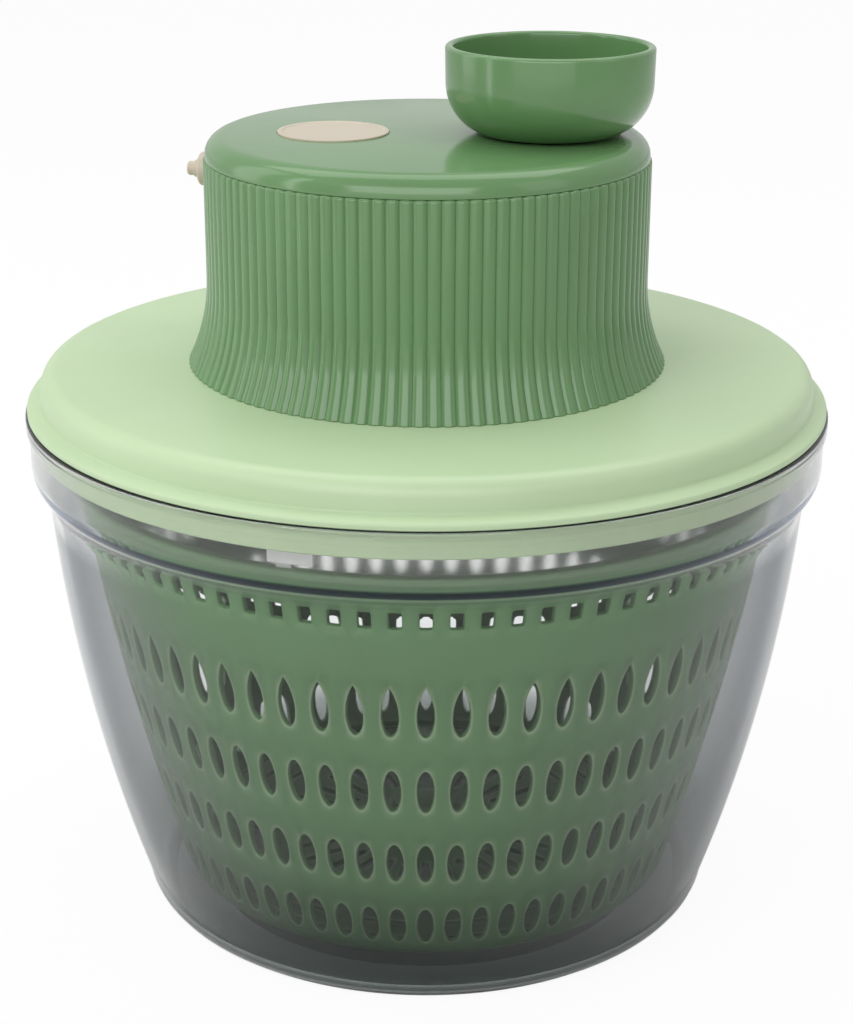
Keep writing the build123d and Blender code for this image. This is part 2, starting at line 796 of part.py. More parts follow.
# Drive plate: three arms whose end tabs reach the basket's rim and drop a tooth into it
with BuildPart() as drive_plate:
    with BuildSketch(Plane.XY.offset(plate_hub_low_z)):
        Circle(plate_hub_r)
    extrude(amount=plate_hub_height)
    for index in range(plate_arm_count):
        arm = Plane.XY.rotated((0, 0, plate_arm_angle + 360 * index / plate_arm_count))
        with BuildSketch(arm.offset(plate_top_z)):
            Rectangle(tab_outer_r, plate_arm_width, align=(Align.MIN, Align.CENTER))
        extrude(amount=-plate_arm_thickness)
        with BuildSketch(arm.offset(plate_top_z - plate_arm_thickness)):
            Rectangle(tab_outer_r - tab_thickness, plate_rib_width, align=(Align.MIN, Align.CENTER))
        extrude(amount=-plate_rib_depth)
        with BuildSketch(arm.offset(plate_top_z)):
            with Locations((tab_outer_r, 0)):
                Rectangle(tab_thickness, tab_width, align=(Align.MAX, Align.CENTER))
        extrude(amount=tab_low_z - plate_top_z)
        with BuildSketch(arm.offset(tab_low_z)):
            with Locations((tooth_outer_r, -tooth_offset)):
                Rectangle(tooth_thickness, tooth_width, align=(Align.MAX, Align.CENTER))
        extrude(amount=-tab_gap - tooth_depth)
    with BuildSketch(Plane.XY.offset(plate_hub_low_z)):
        RegularPolygon(shaft_hex_r + press_fit, 6)
    extrude(amount=plate_hub_height, mode=Mode.SUBTRACT)

with BuildPart() as drive_washer:
    with BuildSketch(Plane.XY.offset(plate_hub_low_z)):
        Circle(washer_r)
        Circle(screw_r + screw_fit, mode=Mode.SUBTRACT)
    extrude(amount=-washer_thickness)

with BuildPart() as drive_screw:
    with Locations(Location((0, 0, plate_hub_low_z - washer_thickness), (180, 0, 0))):
        add(pan_screw(screw_length, wide_head_r, wide_head_height))

# Crank cap: turning top with a neck through the housing's lip
with BuildPart() as crank_cap:
    band_low = housing_top_z + cap_gap
    rib_r = lip_bore_r + cap_rib_inset
    neck_r = lip_bore_r - running_gap
    with BuildSketch(Plane.XZ) as cap_section:
        with BuildLine():
            Polyline(
                (0, cap_top_z),
                (cap_r, cap_top_z),
                (cap_r, band_low),
                (cap_r - cap_wall, band_low),
                (cap_r - cap_wall, cap_under_z),
                (rib_r, cap_under_z),
                (rib_r, lip_top_z + running_gap),
                (rib_r - cap_rib_wall, lip_top_z + running_gap),
                (rib_r - cap_rib_wall, cap_under_z),
                (neck_r, cap_under_z),
                (neck_r, ring_top_z),
                (neck_r - cap_neck_wall, ring_top_z),
                (neck_r - cap_neck_wall, cap_under_z),
                (0, cap_under_z),
                close=True,
            )
        make_face()
        fillet(cap_section.vertices().group_by(Axis.Y)[-1].sort_by(Axis.X)[-1], cap_edge_r)
    revolve(axis=Axis.Z)
    with BuildSketch(Plane.XY.offset(ring_top_z)):
        with PolarLocations(ring_screw_ring, ring_screw_count, boss_start_angle):
            Circle(ring_boss_r)
    extrude(amount=cap_under_z - ring_top_z)
    with BuildSketch(Plane.XY.offset(cap_under_z)):
        with Locations((knob_place, 0)):
            Circle(pin_boss_r)
    extrude(amount=pin_boss_z - cap_under_z)
    with BuildSketch(Plane.XY.offset(cap_top_z)):
        with Locations((knob_place, 0)):
            Circle(pin_shank_r + press_fit)
    extrude(amount=pin_boss_z - cap_top_z, mode=Mode.SUBTRACT)
    with BuildSketch(Plane.XY.offset(ring_top_z)):
        with PolarLocations(ring_screw_ring, ring_screw_count, boss_start_angle):
            Circle(screw_r + screw_fit)
    extrude(amount=short_screw_length, mode=Mode.SUBTRACT)
    with BuildSketch(Plane.XY.offset(cap_top_z)):
        with Locations((medallion_place, 0)):
            Circle(medallion_r + medallion_fit)
    extrude(amount=-medallion_recess, mode=Mode.SUBTRACT)

# Ring gear: inside teeth under a web that is screwed to the cap, below the housing's lip
with BuildPart() as ring_gear:
    space_width = pi * gear_module / 2 + tooth_backlash
    tooth_space = gear_outline(ring_teeth, ring_root_r, ring_tip_r, space_width)
    with BuildSketch(Plane.XY.offset(gear_z)):
        Circle(ring_outer_r)
        add(tooth_space, rotation=180 / ring_teeth, mode=Mode.SUBTRACT)
    extrude(amount=ring_top_z - ring_web_thickness - gear_z)
    with BuildSketch(Plane.XY.offset(ring_top_z - ring_web_thickness)):
        Circle(ring_outer_r)
        Circle(ring_screw_ring - ring_web_edge, mode=Mode.SUBTRACT)
        with PolarLocations(ring_screw_ring, ring_screw_count, boss_start_angle):
            Circle(screw_r + screw_fit, mode=Mode.SUBTRACT)
    extrude(amount=ring_web_thickness)

with BuildPart() as ring_screws:
    ring_screw = pan_screw(short_screw_length, screw_head_r, screw_head_height)
    with PolarLocations(ring_screw_ring, ring_screw_count, boss_start_angle):
        with Locations(Location((0, 0, ring_top_z - ring_web_thickness), (180, 0, 0))):
            add(ring_screw)

# Medallion: bare cream insert with a raised rim
with BuildPart() as medallion:
    medallion_top = cap_top_z - medallion_recess + medallion_thickness
    with BuildSketch(Plane.XY.offset(cap_top_z - medallion_recess)):
        with Locations((medallion_place, 0)):
            Circle(medallion_r)
    extrude(amount=medallion_thickness)
    fillet(medallion.edges().group_by(Axis.Z)[-1], medallion_round)
    with BuildSketch(Plane.XY.offset(medallion_top)):
        with Locations((medallion_place, 0)):
            Circle(medallion_r - medallion_rim)
    extrude(amount=-medallion_dish_depth, mode=Mode.SUBTRACT)

# Knob pin: headed pin through the cap that the knob turns on
with BuildPart() as knob_pin:
    with BuildSketch(Plane.XY.offset(pin_boss_z - pin_head_height)):
        with Locations((knob_place, 0)):
            Circle(pin_head_r)
    extrude(amount=pin_head_height)
    with BuildSketch(Plane.XY.offset(pin_boss_z)):
        with Locations((knob_place, 0)):
            Circle(pin_shank_r)
    extrude(amount=cap_top_z - pin_boss_z)
    with BuildSketch(Plane.XY.offset(cap_top_z)):
        with Locations((knob_place, 0)):
            Circle(pin_collar_r)
    extrude(amount=knob_lift - running_gap)
    with BuildSketch(Plane.XY.offset(cap_top_z)):
        with Locations((knob_place, 0)):
            Circle(pin_journal_r)
    extrude(amount=pin_top_z - cap_top_z)
    with BuildSketch(Plane.XY.offset(pin_top_z)):
        with Locations((knob_place, 0)):
            Circle(screw_r + screw_fit)
    extrude(amount=-screw_length, mode=Mode.SUBTRACT)

with BuildPart() as knob_washer:
    with BuildSketch(Plane.XY.offset(pin_top_z)):
        with Locations((knob_place, 0)):
            Circle(washer_r)
            Circle(screw_r + screw_fit, mode=Mode.SUBTRACT)
    extrude(amount=washer_thickness)

with BuildPart() as knob_screw:
    with Locations((knob_place, 0, pin_top_z + washer_thickness)):
        add(pan_screw(screw_length - washer_thickness, wide_head_r, wide_head_height))

# Knob: open cup with a rounded base
with BuildPart() as knob_cup:
    shoulder_z = knob_low_z + knob_shoulder_height
    run = knob_shoulder_r - knob_base_r
    base_arc_r = (run**2 + knob_shoulder_height**2) / (2 * run)
    inner_arc_r = base_arc_r - knob_wall
    arc_centre_r = knob_shoulder_r - base_arc_r
    inner_floor_r = arc_centre_r + sqrt(inner_arc_r**2 - (shoulder_z - knob_floor_z) ** 2)
    bore_r = pin_journal_r + running_fit
    knob_axis = Axis((knob_place, 0, 0), (0, 0, 1))
    with BuildSketch(Plane((knob_place, 0, 0), x_dir=(1, 0, 0), z_dir=(0, -1, 0))):
        with BuildLine():
            Line((bore_r, knob_low_z), (knob_base_r, knob_low_z))
            RadiusArc((knob_base_r, knob_low_z), (knob_shoulder_r, shoulder_z), -base_arc_r)
            Polyline(
                (knob_shoulder_r, shoulder_z),
                (knob_rim_r, knob_top_z),
                (knob_rim_r - knob_wall, knob_top_z),
                (knob_shoulder_r - knob_wall, shoulder_z),
            )
            RadiusArc(
                (knob_shoulder_r - knob_wall, shoulder_z), (inner_floor_r, knob_floor_z), inner_arc_r
            )
            Polyline((inner_floor_r, knob_floor_z), (bore_r, knob_floor_z), (bore_r, knob_low_z))
        make_face()
    revolve(axis=knob_axis)
    fillet(knob_cup.edges().group_by(Axis.Z)[-1], knob_rim_round)

# Brake bezel: flanged bush in the housing's wall that guides the button
with BuildPart() as brake_bezel:
    with BuildSketch(brake_plane(brake_seat)):
        Circle(bezel_r)
    extrude(amount=bezel_stand)
    outer_face = brake_bezel.faces().sort_by(Axis(brake_plane(0).origin, brake_plane(0).z_dir))[-1]
    fillet(outer_face.edges(), bezel_round)
    with BuildSketch(brake_plane(bezel_inner)):
        Circle(bezel_neck_r)
    extrude(amount=brake_seat - bezel_inner)
    with BuildSketch(brake_plane(bezel_inner)):
        Circle(button_stem_r + running_fit)
    extrude(amount=bezel_floor, mode=Mode.SUBTRACT)
    with BuildSketch(brake_plane(bezel_pocket)):
        Circle(bezel_pocket_r)
    extrude(amount=bezel_outer - bezel_pocket, mode=Mode.SUBTRACT)

# Brake button, its return spring and the shoe that rubs on the ring gear
with BuildPart() as brake_button:
    with BuildSketch(brake_plane(shoe_back)):
        Circle(button_stem_r)
    extrude(amount=button_low - shoe_back)
    with BuildSketch(brake_plane(button_low)):
        Circle(button_r)
    extrude(amount=button_end - button_tip_length - button_low)
    with BuildSketch(brake_plane(button_end - button_tip_length)):
        Circle(button_tip_r)
    extrude(amount=button_tip_length)

with BuildPart() as brake_spring:
    coil_height = spring_length - 2 * spring_wire_r
    with BuildLine():
        coil = Helix(
            pitch=coil_height / spring_turns,
            height=coil_height,
            radius=button_stem_r + running_gap + spring_wire_r,
            center=brake_plane(bezel_pocket + spring_wire_r).origin,
            direction=brake_plane(0).z_dir,
        )
    with BuildSketch(Plane(origin=coil @ 0, z_dir=coil % 0)):
        Circle(spring_wire_r)
    sweep(path=coil, is_frenet=True)

with BuildPart() as brake_shoe:
    with BuildSketch(brake_plane(shoe_back)):
        Circle(shoe_r)
    extrude(amount=-shoe_thickness)

# Screws that hold the housing and the gear carrier down on the lid
with BuildPart() as housing_screws:
    lid_screw_length = lid_wall + screw_length - screw_tip_gap
    lid_screw = pan_screw(lid_screw_length, screw_head_r, screw_head_height)
    with PolarLocations(housing_boss_ring, housing_screw_count, boss_start_angle):
        with Locations(Location((0, 0, lid_under_z), (180, 0, 0))):
            add(lid_screw)

with BuildPart() as carrier_screws:
    with PolarLocations(carrier_leg_ring, idler_count, carrier_leg_start):
        with Locations(Location((0, 0, lid_under_z), (180, 0, 0))):
            add(lid_screw)

pieces = {
    "bowl": bowl,
    "basket": basket,
    "basket_bearing": basket_bearing,
    "bearing_retainer": bearing_retainer,
    "lid": lid,
    "gear_housing": gear_housing,
    "gear_carrier": gear_carrier,
    "idler_pins": idler_pins,
    "idler_clips": idler_clips,
    "drive_shaft": drive_shaft,
    "upper_bush": upper_bush,
    "lower_bush": lower_bush,
    "sun_gear": sun_gear,
    "sun_screw": sun_screw,
    "drive_plate": drive_plate,
    "drive_washer": drive_washer,
    "drive_screw": drive_screw,
    "crank_cap": crank_cap,
    "ring_gear": ring_gear,
    "ring_screws": ring_screws,
    "medallion": medallion,
    "knob_pin": knob_pin,
    "knob_washer": knob_washer,
    "knob_screw": knob_screw,
    "knob_cup": knob_cup,
    "brake_bezel": brake_bezel,
    "brake_button": brake_button,
    "brake_spring": brake_spring,
    "brake_shoe": brake_shoe,
    "housing_screws": housing_screws,
    "carrier_screws": carrier_screws,
}
for index, idler_gear in enumerate(idler_gears, start=1):
    pieces[f"idler_gear_{index}"] = idler_gear

os.makedirs("parts", exist_ok=True)
for name, piece in pieces.items():
    piece.part.label = name
    export_step(piece.part, f"parts/{name}.step")
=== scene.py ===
import json
from math import atan2, cos, hypot, pi, radians, sin, sqrt, tan

import bmesh
import bpy
from bpy.props import FloatProperty, FloatVectorProperty, IntProperty, PointerProperty
from mathutils import Matrix, Vector


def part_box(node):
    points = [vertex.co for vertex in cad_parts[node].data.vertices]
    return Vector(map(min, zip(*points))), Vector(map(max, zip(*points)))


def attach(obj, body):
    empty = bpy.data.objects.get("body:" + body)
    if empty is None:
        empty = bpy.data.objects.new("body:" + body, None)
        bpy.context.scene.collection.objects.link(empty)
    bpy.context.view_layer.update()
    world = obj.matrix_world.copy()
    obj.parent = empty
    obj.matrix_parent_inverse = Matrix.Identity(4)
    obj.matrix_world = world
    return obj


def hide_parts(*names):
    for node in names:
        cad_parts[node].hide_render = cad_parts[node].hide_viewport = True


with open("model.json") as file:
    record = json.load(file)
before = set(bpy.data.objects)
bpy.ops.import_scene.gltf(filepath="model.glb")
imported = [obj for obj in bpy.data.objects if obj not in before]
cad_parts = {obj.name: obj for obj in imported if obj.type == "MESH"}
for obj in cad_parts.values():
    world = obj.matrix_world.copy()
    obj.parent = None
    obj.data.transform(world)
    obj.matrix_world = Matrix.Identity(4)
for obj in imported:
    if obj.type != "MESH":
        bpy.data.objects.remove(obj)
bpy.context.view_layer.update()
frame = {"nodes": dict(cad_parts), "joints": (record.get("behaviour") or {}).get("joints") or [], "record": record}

bl_info = {
    "name": "Salad spinner",
    "version": (1, 0, 0),
    "blender": (4, 5, 0),
    "location": "View3D > Sidebar > Spinner",
    "description": "Builds the finished pieces of a crank salad spinner round its fixed frame",
    "category": "Object",
}

MM = 0.001

# Corners, middles and joints that the frame gives
BOWL_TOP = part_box("bowl")[1]
LID_LOW, LID_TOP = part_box("lid")
HOUSING_LOW, HOUSING_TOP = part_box("gear_housing")
CAP_LOW, CAP_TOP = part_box("crank_cap")
KNOB_LOW, KNOB_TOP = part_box("knob_cup")
BASKET_LOW, BASKET_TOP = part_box("basket")
MEDALLION_LOW, MEDALLION_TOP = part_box("medallion")
BEARING_LOW, BEARING_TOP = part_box("basket_bearing")
KNOB_X = (KNOB_LOW.x + KNOB_TOP.x) / 2
MEDALLION_X = (MEDALLION_LOW.x + MEDALLION_TOP.x) / 2
MEDALLION_R = (MEDALLION_TOP.x - MEDALLION_LOW.x) / 2
BRAKE_JOINT = next(j for j in frame["joints"] if j["name"] == "brake_press")
BRAKE_OUT = -Vector(BRAKE_JOINT["axis"])
BRAKE_HEIGHT = (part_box("brake_shoe")[0].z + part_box("brake_shoe")[1].z) / 2
SLOT_OF = {part["node"]: part["material_slot"] for part in frame["record"]["subparts"]}

# Steps of a rounded corner, the angles from which an edge stays sharp and up to which faces
# count as flat, and how close points merge
ARC_STEPS = 6
SHARP_EDGE = radians(38)
FLAT = radians(1)
WELD = 0.005 * MM


class SpinnerSizes(bpy.types.PropertyGroup):
    """Sizes that set the look of the spinner's mouldings."""

    bowl_wall: FloatProperty(
        name="Bowl wall",
        description="Thickness of the clear bowl's wall",
        default=2.4 * MM,
        min=0.5 * MM,
        unit="LENGTH",
    )
    bowl_bulge: FloatProperty(
        name="Bowl bulge",
        description="How far the bowl's side swells out from a straight taper",
        default=3.8 * MM,
        unit="LENGTH",
    )
    basket_wall: FloatProperty(
        name="Basket wall",
        description="Thickness of the basket's wall and floor",
        default=2.0 * MM,
        min=0.5 * MM,
        unit="LENGTH",
    )
    basket_bulge: FloatProperty(
        name="Basket bulge",
        description="How far the basket's side swells out from a straight taper",
        default=2.6 * MM,
        min=0.1 * MM,
        unit="LENGTH",
    )
    oval_count: IntProperty(
        name="Ovals in a row",
        description="Leaf or oval holes in each of the basket's four rows",
        default=64,
        min=8,
    )
    oval_width: FloatProperty(
        name="Oval width",
        description="Width of a leaf or oval hole",
        default=4.8 * MM,
        unit="LENGTH",
    )
    square_count: IntProperty(
        name="Squares in a row",
        description="Square holes in the row under the basket's rim",
        default=80,
        min=8,
    )
    hole_round: FloatProperty(
        name="Hole rounding",
        description="Width of the moulded edge round each hole",
        default=0.3 * MM,
        unit="LENGTH",
    )
    rib_count: IntProperty(
        name="Ribs",
        description="Upright ribs round the gear housing",
        default=108,
        min=12,
    )
    groove_depth: FloatProperty(
        name="Groove depth",
        description="Depth of the groove between two ribs",
        default=0.75 * MM,
        unit="LENGTH",
    )
    groove_share: FloatProperty(
        name="Groove share",
        description="Share of the rib pitch that falls off into the groove",
        default=0.85,
        min=0.05,
        max=0.95,
        subtype="FACTOR",
    )


class SpinnerColours(bpy.types.PropertyGroup):
    """Colours of the spinner's plastics and metal."""

    green: FloatVectorProperty(
        name="Housing green",
        description="Plastic of the gear housing, the crank cap and the knob",
        default=(0.127, 0.258, 0.104),
        subtype="COLOR",
        min=0,
        max=1,
    )
    basket: FloatVectorProperty(
        name="Basket green",
        description="Plastic of the basket and its bearing",
        default=(0.102, 0.208, 0.085),
        subtype="COLOR",
        min=0,
        max=1,
    )
    lid: FloatVectorProperty(
        name="Lid green",
        description="Pale plastic of the lid",
        default=(0.480, 0.620, 0.384),
        subtype="COLOR",
        min=0,
        max=1,
    )
    clear: FloatVectorProperty(
        name="Bowl tint",
        description="Tint of the clear bowl's wall, seen straight",
        default=(0.960, 0.970, 0.970),
        subtype="COLOR",
        min=0,
        max=1,
    )
    # Painted shade: a greyer collar that dims what shows through it
    clear_collar_shade: FloatVectorProperty(
        name="Bowl collar tint",
        description="Tint of the clear bowl's collar, seen straight",
        default=(0.880, 0.885, 0.875),
        subtype="COLOR",
        min=0,
        max=1,
    )
    # Painted shade: the grey of dark surroundings seen through the wall at a slant
    clear_slant_shade: FloatVectorProperty(
        name="Bowl edge tint",
        description="Tint of the clear bowl's wall, seen at a slant",
        default=(0.065, 0.080, 0.096),
        subtype="COLOR",
        min=0,
        max=1,
    )
    # Painted shade: the dark of the shadowed floor seen through the bowl's thick base
    clear_base_shade: FloatVectorProperty(
        name="Bowl base tint",
        description="Tint of the clear bowl's thick base",
        default=(0.300, 0.335, 0.320),
        subtype="COLOR",
        min=0,
        max=1,
    )
    cream: FloatVectorProperty(
        name="Cream",
        description="Plastic of the medallion and the brake button",
        default=(0.550, 0.480, 0.375),
        subtype="COLOR",
        min=0,
        max=1,
    )
    white: FloatVectorProperty(
        name="White",
        description="Plastic of the gears, their carrier, the drive plate and the shaft's bushes",
        default=(0.860, 0.860, 0.840),
        subtype="COLOR",
        min=0,
        max=1,
    )
    steel: FloatVectorProperty(
        name="Steel",
        description="Metal of the shaft, the pins and the screws",
        default=(0.560, 0.560, 0.550),
        subtype="COLOR",
        min=0,
        max=1,
    )
    rubber: FloatVectorProperty(
        name="Rubber",
        description="Rubber of the brake shoe",
        default=(0.030, 0.030, 0.030),
        subtype="COLOR",
        min=0,
        max=1,
    )


class SpinnerStage(bpy.types.PropertyGroup):
    """Camera and light of the studio."""

    camera_distance: FloatProperty(
        name="Camera distance",
        description="From the spin axis to the camera, along the floor",
        default=0.631,
        unit="LENGTH",
    )
    camera_above_rim: FloatProperty(
        name="Camera height",
        description="Height of the camera above the bowl's rim",
        default=0.19237,
        unit="LENGTH",
    )
    camera_pitch: FloatProperty(
        name="Camera pitch",
        description="How far the camera looks down",
        default=radians(20.05),
        subtype="ANGLE",
    )
    camera_roll: FloatProperty(
        name="Camera roll",
        description="How far the camera leans to its left",
        default=radians(0.167),
        subtype="ANGLE",
    )
    camera_lens: FloatProperty(
        name="Lens",
        description="Focal length on a 36 mm sensor",
        default=76.37,
        unit="CAMERA",
    )
    sky_level: FloatProperty(
        name="Sky level",
        description="Light that the white surroundings give",
        default=0.5,
        min=0,
    )
    floor_glow: FloatProperty(
        name="Floor whiteness",
        description="Share of plain white in the floor as it is seen",
        default=0.94,
        min=0,
        max=1,
        subtype="FACTOR",
    )


class Field:
    """An output of a node tree, which arithmetic extends with Math nodes."""

    def __init__(self, tree, socket):
        self.tree = tree
        self.socket = socket

    def math(self, operation, *others):
        made = self.tree.nodes.new("ShaderNodeMath")
        made.operation = operation
        for place, value in enumerate((self, *others)):
            plug(self.tree, value, made.inputs[place])
        return Field(self.tree, made.outputs[0])

    def __add__(self, other):
        return self.math("ADD", other)

    def __sub__(self, other):
        return self.math("SUBTRACT", other)

    def __mul__(self, other):
        return self.math("MULTIPLY", other)

    def __truediv__(self, other):
        return self.math("DIVIDE", other)

    def __pow__(self, other):
        return self.math("POWER", other)

    def __abs__(self):
        return self.math("ABSOLUTE")

    def from_one(self):
        return (self * -1) + 1

    def between(self, least, most):
        return self.math("MAXIMUM", least).math("MINIMUM", most)

    def wrapped(self, end):
        return self.math("WRAP", end, 0)

    def mixed(self, other, share):
        """This field where share is 0, and other where it is 1."""
        return self * share.from_one() + other * share


def plug(tree, value, socket):
    """Links a field or a socket to an input, or sets the input's own value."""
    if isinstance(value, Field):
        value = value.socket
    if isinstance(value, bpy.types.NodeSocket):
        tree.links.new(value, socket)
    else:
        socket.default_value = value


def add_node(tree, kind, inputs=(), **settings):
    """New node with its settings, and its inputs given by name or by place."""
    made = tree.nodes.new(kind)
    for name, value in settings.items():
        setattr(made, name, value)
    for name, value in dict(inputs).items():
        plug(tree, value, made.inputs[name])
    return made


def field(tree, kind, inputs=(), output=0, **settings):
    """First output, or the named one, of a new node."""
    return Field(tree, add_node(tree, kind, inputs, **settings).outputs[output])


# Meshes


def cleaned(obj, sharp=SHARP_EDGE):
    """Welds an object's mesh and gives it smooth faces with sharp edges where it turns."""
    form = bmesh.new()
    form.from_mesh(obj.data)
    bmesh.ops.remove_doubles(form, verts=form.verts, dist=WELD)
    bmesh.ops.dissolve_degenerate(form, edges=form.edges, dist=WELD)
    bmesh.ops.recalc_face_normals(form, faces=form.faces)
    form.to_mesh(obj.data)
    form.free()
    return smoothed(obj, sharp)


def smoothed(obj, sharp=SHARP_EDGE):
    """Gives an object smooth faces, with sharp edges where its surface turns."""
    obj.data.shade_smooth()
    obj.data.set_sharp_from_angle(angle=sharp)
    return obj


def mesh_from(form, name):
    """New mesh from a bmesh, which is freed."""
    mesh = bpy.data.meshes.new(name)
    form.to_mesh(mesh)
    form.free()
    return mesh


def linked(obj):
    """Puts a new object in the scene."""
    bpy.context.scene.collection.objects.link(obj)
    return obj


def settled(obj):
    """Replaces an object's modifiers by the plain mesh that they make."""
    graph = bpy.context.evaluated_depsgraph_get()
    mesh = bpy.data.meshes.new_from_object(obj.evaluated_get(graph))
    obj.modifiers.clear()
    obj.data = mesh
    return obj


def new_tree(name, inputs):
    """Geometry tree with named inputs, and the fields that read them."""
    tree = bpy.data.node_groups.new(name, "GeometryNodeTree")
    for label, kind in inputs.items():
        tree.interface.new_socket(label, in_out="INPUT", socket_type="NodeSocket" + kind)
    tree.interface.new_socket("Geometry", in_out="OUTPUT", socket_type="NodeSocketGeometry")
    source = tree.nodes.new("NodeGroupInput")
    return tree, {label: Field(tree, source.outputs[label]) for label in inputs}


def end_tree(tree, geometry, material):
    """Ends a tree in plain geometry with its material."""
    real = field(tree, "GeometryNodeRealizeInstances", {"Geometry": geometry})
    welded = field(tree, "GeometryNodeMergeByDistance", {"Geometry": real, "Distance": WELD})
    painted = field(tree, "GeometryNodeSetMaterial", {"Geometry": welded, "Material": material})
    add_node(tree, "NodeGroupOutput", {0: painted})


def grown(name, tree, values):
    """Object with the plain mesh that a tree makes from the given inputs."""
    holder = linked(bpy.data.objects.new(name, bpy.data.meshes.new(name)))
    modifier = holder.modifiers.new(tree.name, "NODES")
    modifier.node_group = tree
    for item in tree.interface.items_tree:
        if item.in_out == "INPUT":
            modifier[item.identifier] = values[item.name]
    return settled(holder)


def grid_fields(tree, columns, rows):
    """Grid of columns by rows, with its place across and along as fields from 0 to 1."""
    grid = field(
        tree,
        "GeometryNodeMeshGrid",
        {"Size X": 1.0, "Size Y": 1.0, "Vertices X": columns, "Vertices Y": rows},
    )
    place = field(tree, "GeometryNodeInputPosition")
    split = add_node(tree, "ShaderNodeSeparateXYZ", {0: place})
    across = Field(tree, split.outputs["X"]) + 0.5
    along = Field(tree, split.outputs["Y"]) + 0.5
    return grid, across, along


def placed_round(tree, grid, radius, angle, height):
    """Moves a grid's points to a radius, an angle and a height about the spin axis."""
    position = field(
        tree,
        "ShaderNodeCombineXYZ",
        {
            "X": radius * angle.math("COSINE"),
            "Y": radius * angle.math("SINE"),
            "Z": height,
        },
    )
    return field(tree, "GeometryNodeSetPosition", {"Geometry": grid, "Position": position})


def turned_tree():
    """Tree that turns an outline about the spin axis, with grooves between ribs."""
    tree, given = new_tree(
        "turned_form",
        {
            "Outline": "Object",
            "Steps": "Int",
            "Ribs": "Int",
            "Groove depth": "Float",
            "Groove share": "Float",
            "Material": "Material",
        },
    )
    outline = field(
        tree, "GeometryNodeObjectInfo", {"Object": given["Outline"]}, output="Geometry"
    )
    rows = field(tree, "GeometryNodeAttributeDomainSize", {"Geometry": outline})
    grid, across, along = grid_fields(tree, given["Steps"] + 1, rows)
    row = (along * (rows - 1)).math("ROUND")

    def sampled(kind, value):
        return field(
            tree,
            "GeometryNodeSampleIndex",
            {"Geometry": outline, "Value": value, "Index": row},
            data_type=kind,
        )

    point = sampled("FLOAT_VECTOR", field(tree, "GeometryNodeInputPosition"))
    ribbed = field(tree, "GeometryNodeInputNamedAttribute", {"Name": "rib"}, data_type="FLOAT")
    split = add_node(tree, "ShaderNodeSeparateXYZ", {0: point})
    radius = Field(tree, split.outputs["X"])
    height = Field(tree, split.outputs["Z"])
    from_groove = (abs((across * given["Ribs"]).math("FRACT") - 0.5) * -1) + 0.5
    fall = ranged(tree, from_groove, 0.0, given["Groove share"] / 2, 1.0, 0.0)
    cut = radius - fall * fall * given["Groove depth"] * sampled("FLOAT", ribbed)
    formed = placed_round(tree, grid, cut, across * (2 * pi), height)
    end_tree(tree, formed, given["Material"])
    return tree


